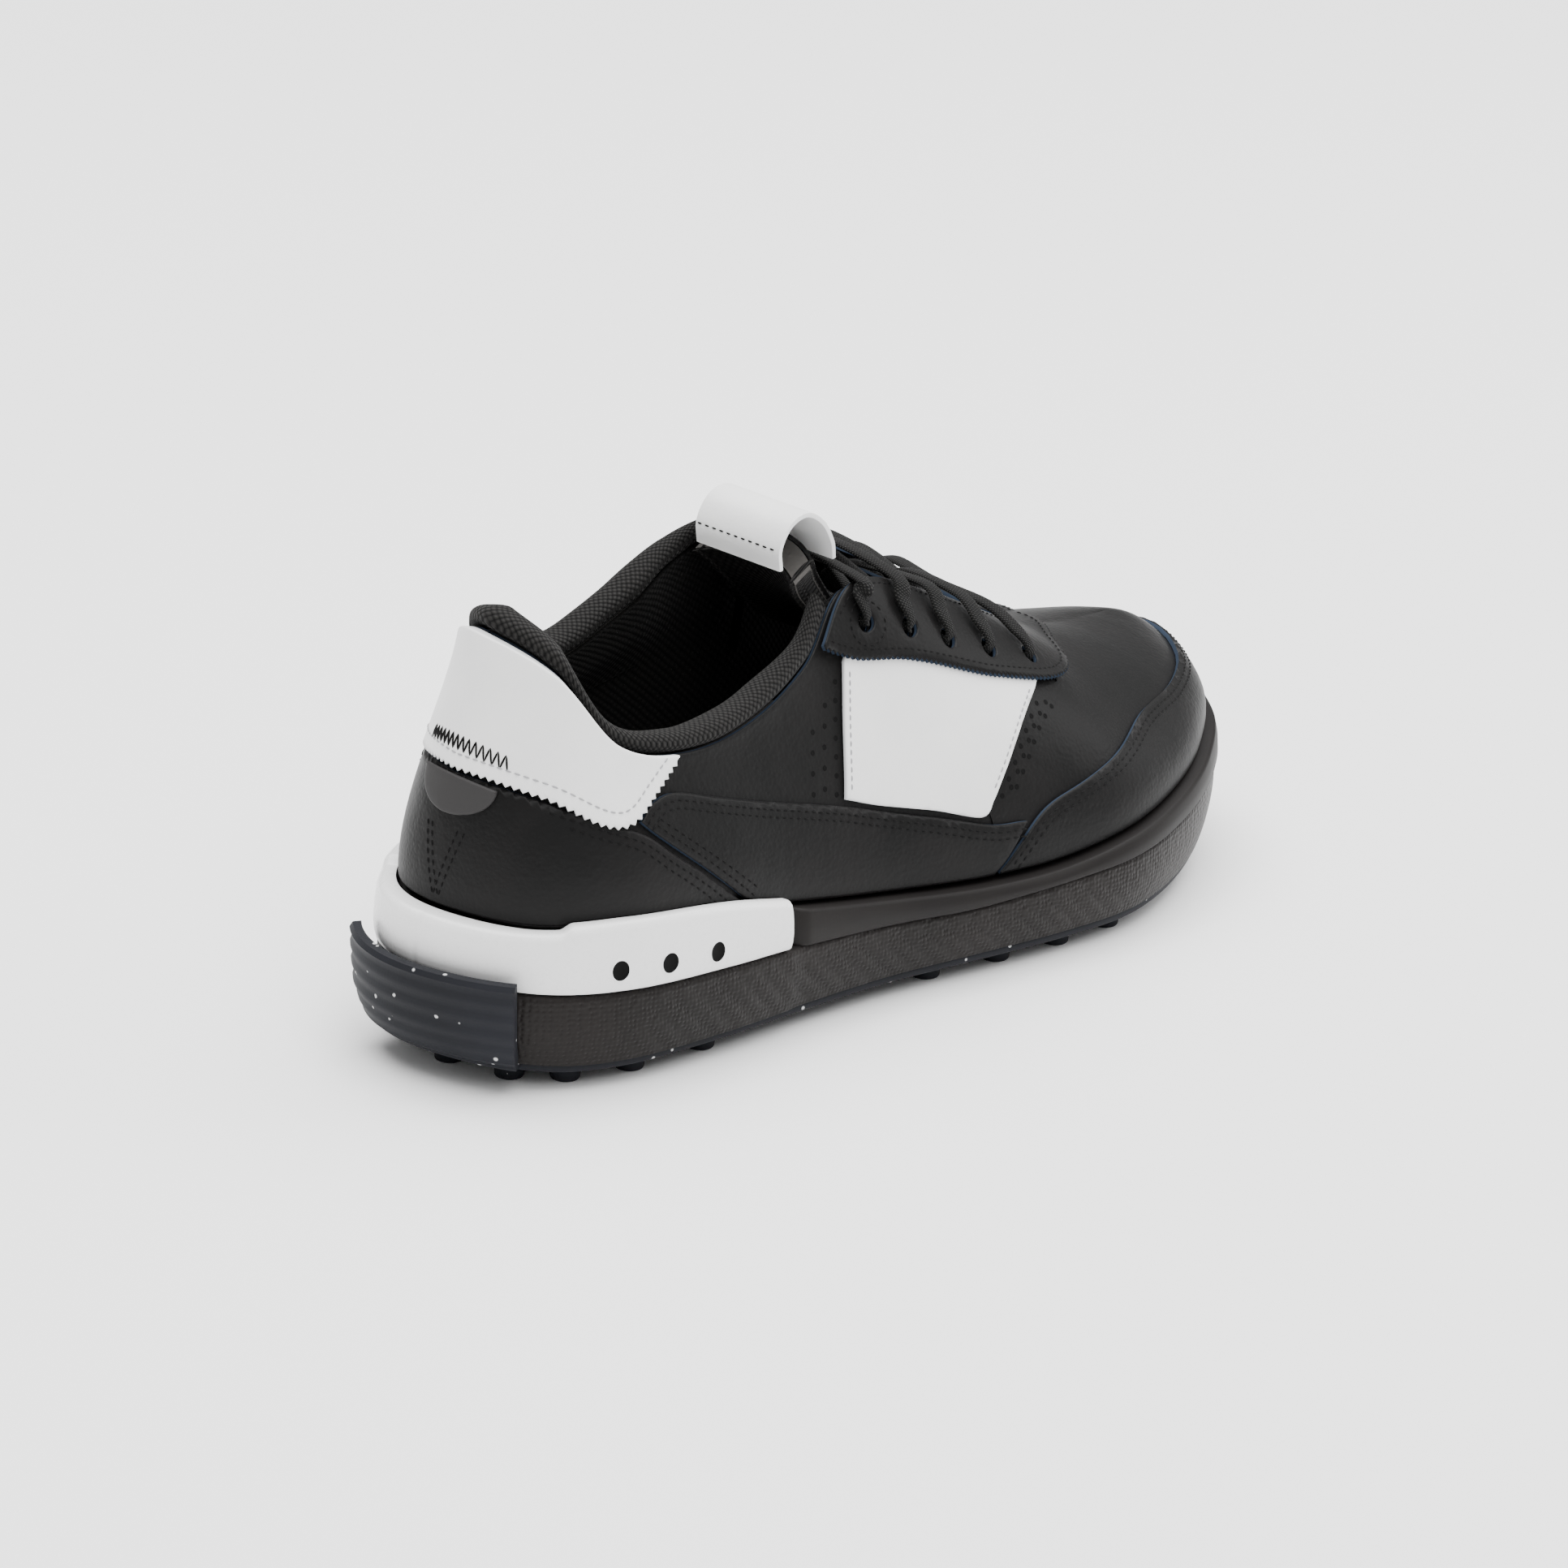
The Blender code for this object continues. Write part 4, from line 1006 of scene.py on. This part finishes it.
def build_inside():
    us = np.linspace(-SEAM + 0.03, SEAM - 0.03, 150)
    lining = cloth("quarter_lining", us, np.linspace(FOOT, TOP, 40), lambda u, v: -1.8 - foam_depth(u, v),
                   lambda u, v: -2.9 - foam_depth(u, v), LINING)
    us = round_the_toe(SEAM + 0.03, 50)
    cloth("vamp_lining", us, np.linspace(FOOT, 1.0, 24), lambda u, v: -1.8 - toe_backing(u),
          lambda u, v: -2.9 - toe_backing(u), LINING, ridge=True)
    us = np.linspace(-4.5, 4.5, 90)
    foam = cloth("collar_foam", us, np.linspace(0.57, 0.975, 12), -1.6, lambda u, v: -1.2 - foam_depth(u, v),
                 FOAM)
    roll = sweep("collar_binding", collar_ring(np.linspace(-5.6, 5.6, 220)), KNIT,
                 smooth_angle=60.0)
    lines = [[(u, 0.62) for u in np.linspace(-4.4, 4.4, 60)], [(0, v) for v in np.linspace(0.1, 0.6, 12)]]
    stitches("lining_stitches", [np.array(line) for line in lines],
             -4.3, BLACK_THREAD, pitch=3.0, width=0.6)


# ---------------------------------------------------------------- sole
CLIP_END = 3.69
WIDE = np.arange(0, TURN, 0.1)


def ring(out, height, us=WIDE):
    flat = edge(us, out, 0.0)
    flat[:, 2] = height(flat[:, 0] - SHIFT[0]) if callable(height) else height
    return flat


def build_midsole():
    """Cup of moulded foam: a smooth rim band over a pebbled wall with slanting grooves."""
    us = np.arange(0, TURN, 0.04)
    held = 1 - smooth(3.72, 3.95, from_heel(us))
    wall_top, wall_low = 5.3 - 4.0 * held, 6.2 - 3.7 * held
    shelf = 5.2 + 0.7 * held + clip_swell(us)
    foot = foot_z(us)
    x = foot_x(us)
    ledge, under = ledge_z(x), under_z(x)
    d = from_heel(us)
    ribbed = smooth(1.2, 2.6, d) * (1 - smooth(6.8, 8.6, d))
    rows = [(-8.0, None), (-6.5, foot - 1.0), (wall_top - 1.2, foot - 0.9), (wall_top - 0.3, foot - 1.2),
            (wall_top, foot - 1.9), ((wall_top + wall_low) / 2 + 0.15, (foot + ledge) / 2),
            (wall_low, ledge + 0.8), (wall_low - 0.5, ledge + 0.1), (shelf - 0.6, ledge - 0.2)]
    rings = []
    for out, z in rows:
        rings.append(ring(out, floor_z, us) if z is None else edge(us, out, z))
    for share in np.linspace(0, 1, 15):
        slant = 0.5 - 0.5 * np.cos(2 * math.pi * (d / 0.24 - 2.6 * share))
        dent = 0.75 * slant**2 * ribbed * math.sin(math.pi * share) ** 0.7
        bulge = 0.5 * math.sin(math.pi * share) - 1.6 * share**2.5
        z = (ledge - 0.9) + (under + 2.6 - ledge + 0.9) * share
        rings.append(edge(us, shelf + bulge - dent, z))
    rings.append(edge(us, shelf - 3.0, under + 2.5))
    loft("midsole", rings, [RIM, PEBBLED], [0] * 8 + [1] * 16, smooth_angle=60.0)


def clip_face(us):
    """Outer wall of the clip from its lower edge up: distance out, and height."""
    swell = clip_swell(us) - 0.35 * np.exp(-(us / 0.035) ** 2)
    top = foot_z(us) + 0.2 + 1.7 * smooth(1.28, 1.42, from_heel(us))
    low = ledge_z(foot_x(us)) + 0.5
    return [(5.9 + swell, low), (6.5 + swell, low + 0.6), (7.0 + swell, low + 2.5), (7.2 + swell, low + 5.0),
            (7.0 + swell, (low + top) / 2 + 1.5), (6.6 + swell, top - 2.5), (6.1 + swell, top - 1.0),
            (5.2 + swell, top - 0.2), (4.2 + swell, top)]


def build_clip():
    """Glossy heel clip with a ledge along it, a parting line and three oval windows."""
    us = np.linspace(-CLIP_END, CLIP_END, 300)
    foot = foot_z(us)
    face = clip_face(us)
    low, top = face[0][1], face[-1][1]
    back = [(2.3, top - 0.2), (2.3, foot - 2.0), (3.1, low)]
    sections = np.stack([edge(us, out, z) for out, z in back + face], axis=1)
    sweep("heel_clip", sections, CLIP, smooth_angle=35.0)
    for side in (1, -1):
        for k, (u, lift) in enumerate(((1.85, 6.2), (2.32, 6.0), (2.79, 5.8))):
            oval(f"clip_window_{SIDES[side < 0]}_{k + 1}", side * u, lift)


def oval(name, u, lift, length=2.3, height=2.8, corners=32):
    """An oval window with a raised soft lip in the clip's wall; its dark disc is painted shade standing in
    for the depth of a hole.
    """
    around = np.arange(corners) * 2 * math.pi / corners
    per_mm = 1.0 / np.linalg.norm(surface(u + 0.5, 0.0) - surface(u - 0.5, 0.0))
    points = []
    for scale, out in ((1.22, -0.05), (1.12, 0.28), (1.03, 0.30), (0.98, 0.20)):
        at = u + length * scale * np.cos(around) * per_mm
        z = ledge_z(foot_x(at)) + 0.5 + lift + height * scale * np.sin(around)
        face = clip_face(at)
        wall = [np.interp(z[k], [h[k] for _, h in face], [o[k] for o, _ in face]) for k in range(corners)]
        points += list(edge(at, np.array(wall) + out, z))
    faces = bands(4, corners)
    slots = [0] * len(faces) + [1]
    faces.append([3 * corners + k for k in range(corners)])
    return add_mesh(name, points, faces, [CLIP, HOLE_SHADE], slots)


def lug(centre, low, high, radius, start, sides=28):
    """A round stud with a bevelled tread and a raised ring."""
    turn = np.arange(sides) * 2 * math.pi / sides
    rows = [(high, radius + 0.5), (high - 0.5, radius), (low + 0.5, radius - 0.35),
            (low + 0.12, radius - 0.6), (low, radius - 1.0), (low, radius - 1.9), (low + 0.5, radius - 2.3)]
    points = []
    for z, r in rows:
        points += [(centre[0] + r * math.cos(a), centre[1] + r * math.sin(a), z) for a in turn]
    faces = bands(len(rows), sides, start)
    faces.append([start + (len(rows) - 1) * sides + i for i in range(sides)])
    return points, faces


def build_outsole():
    us = WIDE
    shelf = 2.6 + clip_swell(us)
    x = foot_x(us)
    under = under_z(x)
    rows = [(shelf, under + 2.2), (shelf + 0.15, under + 1.9), (shelf + 0.15, under + 0.6),
            (shelf - 0.3, under + 0.1), (shelf - 1.2, under)]
    loft("outsole", [edge(us, out, z) for out, z in rows], [RUBBER], [0] * 4)
    points, faces = [], []
    outer = list(np.arange(-3.0, 3.01, 0.75)) + list(np.arange(5.6, 18.5, 0.8))
    inner = [-2.2, -1.1, 1.1, 2.2, 6.0, 6.9, 7.8, 8.8, 10.0, 14.0, 15.2, 16.2, 17.1, 18.0]
    for inset, row in ((-5.5, outer), (-21.0, inner)):
        for u in row:
            centre = edge(np.array([u]), inset, 0.0)[0]
            plate_z = float(under_z(centre[0] - SHIFT[0]))
            tread = 0.0 if centre[0] < 72 else plate_z - 4.5
            more_points, more_faces = lug(centre, tread, plate_z + 0.4, 4.2, len(points))
            points += more_points
            faces += more_faces
    add_mesh("outsole_lugs", points, faces, [RUBBER], smooth_angle=40.0)
    build_tab()


def build_tab():
    """Ribbed rubber tab that curls up behind the heel."""
    us = np.linspace(-0.95, 0.95, 61)
    shift = clip_swell(us)
    low = under_z(foot_x(us))
    face = [(0.5, low + 0.4), (7.0, low + 1.5), (9.9, 10.5), (12.0, 17.0), (12.8, 24.0), (13.2, 31.0)]
    back = [(12.4, 32.3), (10.2, 32.5), (9.1, 26.0), (8.0, 20.0), (6.8, low + 8.5), (2.4, low + 1.9),
            (0.5, low + 1.9)]
    fine = []
    for (a, za), (b, zb) in zip(face[:-1], face[1:]):
        for t in np.arange(6) / 6:
            fine.append((a + (b - a) * t, za + (zb - za) * t))
    fine.append(face[-1])
    corners = []
    for k, (out, z) in enumerate(fine):
        rib = 0.45 * (1 if k % 4 in (0, 1) else 0) if k > 7 else 0.0
        corners.append(edge(us, out + shift - rib, z))
    corners += [edge(us, out + shift, z) for out, z in back]
    sweep("heel_tab_rubber", np.stack(corners, axis=1), RUBBER, smooth_angle=30.0)


def build_bed():
    rings = [ring(-9.4, lambda x: floor_z(x) + 2.3), ring(-9.0, lambda x: floor_z(x) + 2.1),
             ring(-9.0, lambda x: floor_z(x) + 0.5)]
    loft("insole_board", rings, [BOARD], [0, 0])
    base = 2.8
    rings = [ring(-15.0, lambda x: floor_z(x) + base + 3.9), ring(-11.6, lambda x: floor_z(x) + base + 4.0),
             ring(-9.9, lambda x: floor_z(x) + base + 4.7), ring(-9.2, lambda x: floor_z(x) + base + 4.9),
             ring(-8.8, lambda x: floor_z(x) + base + 4.6), ring(-8.6, lambda x: floor_z(x) + base + 1.5),
             ring(-9.6, lambda x: floor_z(x) + base)]
    bed = loft("sockliner", rings, [LINING, FOAM], [0, 0, 0, 0, 1, 1], body="insole")


# ---------------------------------------------------------------- tongue
TONGUE = np.array([(84, 59.5, 12, 1), (70, 64.5, 15, 1.5), (50, 71, 17, 2), (20, 86, 18, 2.5),
                   (2, 95, 17, 3.5), (-8, 102, 14.5, 5), (-14.5, 110, 14, 7), (-18.5, 117, 18, 7)], float)
TONGUE_BEND, TONGUE_MIDDLE = 26.0, 1.5


def tongue_point(rows, faces, i, across, depth):
    x, z, half, _ = rows[i]
    nx, nz = faces[i]
    y = across * half
    sink = -y * y / (2 * TONGUE_BEND) - depth
    return np.array([x + nx * sink, y + TONGUE_MIDDLE, z + nz * sink]) + SHIFT


def tongue_layer(name, front, back, stock, sides=25):
    rows = catmull(TONGUE, 12)
    ahead = unit(np.gradient(rows[:, :2], axis=0))
    faces = np.stack([ahead[:, 1], -ahead[:, 0]], -1)
    across = np.linspace(-1, 1, sides)
    sections = []
    for i in range(len(rows)):
        soft = 0.35 * (1 - np.abs(across) ** 6)
        top = [tongue_point(rows, faces, i, a, front(rows[i, 3]) + 0.35 - s) for a, s in zip(across, soft)]
        low = [tongue_point(rows, faces, i, a, back(rows[i, 3])) for a in across[::-1]]
        sections.append(top + low)
    made = sweep(name, sections, stock, body="tongue")
    return made, rows, faces


def build_tongue():
    cover, rows, faces = tongue_layer("tongue_cover", lambda f: 0.0, lambda f: 1.2, BLACK_LEATHER)
    foam, *_ = tongue_layer("tongue_foam", lambda f: 1.5, lambda f: 1.5 + f, FOAM)
    back, *_ = tongue_layer("tongue_lining", lambda f: 1.8 + f, lambda f: 2.8 + f, LINING)
    for name, sign in (("lateral", -1), ("medial", 1)):
        line = np.array([tongue_point(rows, faces, i, sign * 0.93, 1.5 + rows[i, 3] / 2)
                         for i in range(30, len(rows))])
        up = np.array([[faces[i][0], sign * 0.7, faces[i][1]] for i in range(30, len(rows))])
        ahead = unit(np.gradient(line, axis=0))
        side = unit(np.cross(ahead, unit(up)))
        up = np.cross(side, ahead)
        turn = np.arange(14) * 2 * math.pi / 14
        tall = 1.6 + rows[30:, 3] / 2
        sections = (line[:, None] + side[:, None] * (1.5 * np.cos(turn))[None, :, None]
                    + np.array([[f[0], 0, f[1]] for f in faces[30:]])[:, None]
                    * (tall[:, None] * np.sin(turn)[None])[..., None])
        edge_roll = sweep(f"tongue_edge_{name}", sections, KNIT, body="tongue")
    spots = []
    for i in range(34, len(rows) - 6, 6):
        for k, a in enumerate(np.linspace(-0.62, 0.62, 6)):
            j = i + (3 if k % 2 else 0)
            spots.append((j, a))
    tongue_dots(rows, faces, spots)
    build_loop()


def tongue_dots(rows, faces, spots):
    places = []
    for i, a in spots:
        if i >= len(rows) - 3:
            continue
        centre = tongue_point(rows, faces, i, a, 0.0)
        ahead = unit(tongue_point(rows, faces, i + 1, a, 0.0) - centre)
        side = unit(tongue_point(rows, faces, i, a + 0.05, 0.0) - centre)
        n = np.cross(ahead, side)
        places.append((centre, ahead, side, n if n[2] > 0 else -n))
    dimples("tongue_perforations", places, ((0.85, 0.0), (0.65, 0.06), (0.5, 0.02)), body="tongue")


def build_loop():
    path = catmull(np.array([(-14.0, 112.5), (-15.0, 117.5), (-19.0, 123.5), (-25.0, 126.8), (-31.0, 125.0),
                             (-34.5, 119.5), (-34.0, 113.5)]), 10)
    ahead = unit(np.gradient(path, axis=0))
    sections = []
    for (x, z), (tx, tz) in zip(path, ahead):
        inner, outer = np.array([x - tz * 0.7, z + tx * 0.7]), np.array([x + tz * 0.7, z - tx * 0.7])
        mid = (inner + outer) / 2
        near_inner, near_outer = inner * 0.85 + mid * 0.15, outer * 0.85 + mid * 0.15
        corners = [(*near_inner, -14.0), (*mid, -14.15), (*near_outer, -14.0),
                   (*outer, -13.4), (*outer, -6.0), (*outer, 1.0), (*outer, 8.0), (*outer, 15.4),
                   (*near_outer, 16.0), (*mid, 16.15), (*near_inner, 16.0),
                   (*inner, 15.4), (*inner, 1.0), (*inner, -13.4)]
        sections.append([np.array([px, y, pz]) + SHIFT for px, pz, y in corners])
    sweep("tongue_loop", sections, WHITE_LEATHER, body="tongue")
    turn, marks = np.arange(6) * math.pi / 3, np.linspace(-1, 1, 5)
    points, quads = [], []
    for y in np.arange(-12.5, 14.6, 2.6):
        for end in (12, len(path) - 10):
            (x, z), (tx, tz) = path[end], ahead[end]
            out = np.array([tz, 0, -tx])
            p = np.array([x + tz * 0.72, y, z - tx * 0.72]) + SHIFT
            more = bar(p, p + np.array([0, 2.1, 0]), out, 0.5, turn, marks, len(points))
            points += more[0]
            quads += more[1]
    add_mesh("loop_stitches", points, quads, [BLACK_THREAD], body="tongue")


# ---------------------------------------------------------------- lacing
def at(side, u, v, offset):
    return skin(np.array(TURN - u if side else u), np.array(v), offset)


ON_TOP, BENEATH = 4.5, -4.8


def strand(start, lift):
    """One half of the lace, from the lowest eyelet up to the top one."""
    route, side = [], start
    for row in range(len(EYELETS) - 1, 0, -1):
        (u, v), (u_next, v_next) = EYELETS[row], EYELETS[row - 1]
        other = 1 - side
        inward = np.array([0, 1.0 if side == 0 else -1.0, 0])
        centre = (at(0, (u + u_next) / 2, 1.0, 0.0) + at(1, (u + u_next) / 2, 1.0, 0.0)) / 2
        route += [
            at(side, u, v, 0.0),
            at(side, u - 0.01, v + 0.01, BENEATH),
            at(side, u - 0.05, v + 0.10, BENEATH - 0.3),
            at(side, u - 0.08, 0.95, BENEATH - 0.5),
            at(side, u - 0.10, 1.0, 0.0) + inward * 5.2 + np.array([0, 0, -1.2]),
            centre + np.array([0, 0, 2.0 + lift]),
            at(other, u_next + 0.16, 0.97, ON_TOP + 0.7),
            at(other, u_next + 0.05, v_next + 0.09, ON_TOP + 0.4),
            at(other, u_next + 0.01, v_next + 0.01, ON_TOP - 0.4),
        ]
        side = other
    u, v = EYELETS[0]
    route += [at(side, u, v, 0.0), at(side, u - 0.01, v - 0.02, BENEATH),
              at(side, u - 0.05, v - 0.14, BENEATH - 1.2)]
    return route, side


def build_lace():
    """One flat braided lace in the holes, following the solid's own route."""
    first, side_a = strand(0, 0.0)
    second, side_b = strand(1, 3.1)
    u, v = EYELETS[-1]
    hole_at = [at(side, u, v + 0.01, ON_TOP - 0.4) for side in (0, 1)]
    over = [hole_at[0], at(0, u, v + 0.09, ON_TOP + 0.5), at(0, u, 0.97, ON_TOP + 0.9)]
    centre = (at(0, u, 1.0, 0.0) + at(1, u, 1.0, 0.0)) / 2 + np.array([0, 0, 5.4])
    back = [at(1, u, 0.97, ON_TOP + 0.9), at(1, u, v + 0.09, ON_TOP + 0.5), hole_at[1]]
    route = first[::-1] + over + [centre] + back + second
    line = catmull(np.array(route), 10)
    ups = []
    us = np.linspace(EYELETS[0][0], 7.9, 40)
    mids = (surface(us, np.full(40, 1.0)) + surface(TURN - us, np.full(40, 1.0))) / 2
    mids[:, 2] -= 34.0
    for p in line:
        spine = mids[np.argmin(np.abs(mids[:, 0] - p[0]))]
        ups.append(unit(p - np.array([p[0] - 8.0, TONGUE_MIDDLE + SHIFT[1], spine[2]])))
    from_holes = [np.linalg.norm(line - at(side, u, v, 2.5), axis=1) for side in (0, 1) for u, v in EYELETS]
    near = np.min(from_holes, axis=0)
    width = 3.6 + 1.7 * smooth(3.0, 8.0, near)
    thick = 1.5
    sweep("lace", flat_bar(line, np.array(ups), width, thick, 16), LACE)
    for side, end in ((side_a, route[0]), (side_b, route[-1])):
        u, v = EYELETS[0]
        tip = at(side, u - 0.35, v - 0.42, BENEATH - 1.2)
        direction = unit(tip - end)
        start = end + direction * 0.9
        turn = np.arange(14) * 2 * math.pi / 14
        across = unit(np.cross(direction, (0.3, 0.2, 0.9)))
        up = np.cross(direction, across)
        sections = []
        for far, r in ((0, 1.2), (0.3, 1.3), (8, 1.25), (15.6, 1.25), (16, 1.0)):
            centre = start + direction * far
            sections.append([centre + r * (math.cos(a) * across + math.sin(a) * up) for a in turn])
        sweep(f"aglet_{SIDES[side]}", sections, BLACK_PLASTIC)


build_inside()
build_midsole()
build_clip()
build_outsole()
build_bed()
build_tongue()
build_lace()
for name in ("heel_counter", "toe_puff"):
    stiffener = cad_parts[name]
    stiffener.data.materials.clear()
    stiffener.data.materials.append(BOARD)


# ---------------------------------------------------------------- stage, light, camera
def area_light(name, place, target, size, power, colour=(1, 1, 1)):
    data = bpy.data.lights.new(name, "AREA")
    data.shape, data.size, data.size_y = "RECTANGLE", size[0], size[1]
    data.energy, data.color = power, colour
    made = bpy.data.objects.new(name, data)
    made.location = place
    direction = Vector(target) - Vector(place)
    made.rotation_euler = direction.to_track_quat("-Z", "Y").to_euler()
    bpy.context.collection.objects.link(made)


def build_stage():
    bpy.ops.mesh.primitive_plane_add(size=6.0, location=(0, 0, 0))
    floor = bpy.context.object
    floor.name = "floor"
    stock, _, _ = base_material("floor_white", (0.93, 0.93, 0.93, 1), 0.7)
    floor.data.materials.append(stock)
    world = bpy.data.worlds.new("studio")
    bpy.context.scene.world = world
    world.use_nodes = True
    world.node_tree.nodes["Background"].inputs["Color"].default_value = (1, 1, 1, 1)
    world.node_tree.nodes["Background"].inputs["Strength"].default_value = 0.55
    area_light("top", (0.2, 0.2, 2.4), (0, 0, 0), (3.2, 3.2), 215.0)
    area_light("key", (-0.6, -1.2, 1.5), (0, 0, 0.05), (1.0, 1.0), 14.0)
    area_light("front", (1.3, -0.7, 0.8), (0.05, 0, 0.05), (0.8, 0.8), 8.0)


def build_camera():
    azimuth, elevation, roll, far = (math.radians(-47.7), math.radians(21.2), math.radians(3.0), 2.017)
    back = Vector((math.sin(azimuth) * math.cos(elevation), -math.cos(azimuth) * math.cos(elevation),
                   math.sin(elevation)))
    right = Vector((math.cos(azimuth), math.sin(azimuth), 0))
    up = back.cross(right)
    turned = right * math.cos(roll) + up * math.sin(roll)
    upright = -right * math.sin(roll) + up * math.cos(roll)
    data = bpy.data.cameras.new("camera")
    data.lens, data.sensor_width = 174.4, 36.0
    data.shift_x, data.shift_y = -0.0232, -0.0190
    made = bpy.data.objects.new("camera", data)
    place = Vector((SHIFT[0] * MM, SHIFT[1] * MM, 0.05)) + back * far
    made.matrix_world = Matrix.Translation(place) @ Matrix((turned, upright, back)).transposed().to_4x4()
    bpy.context.collection.objects.link(made)
    bpy.context.scene.camera = made


build_stage()
build_camera()
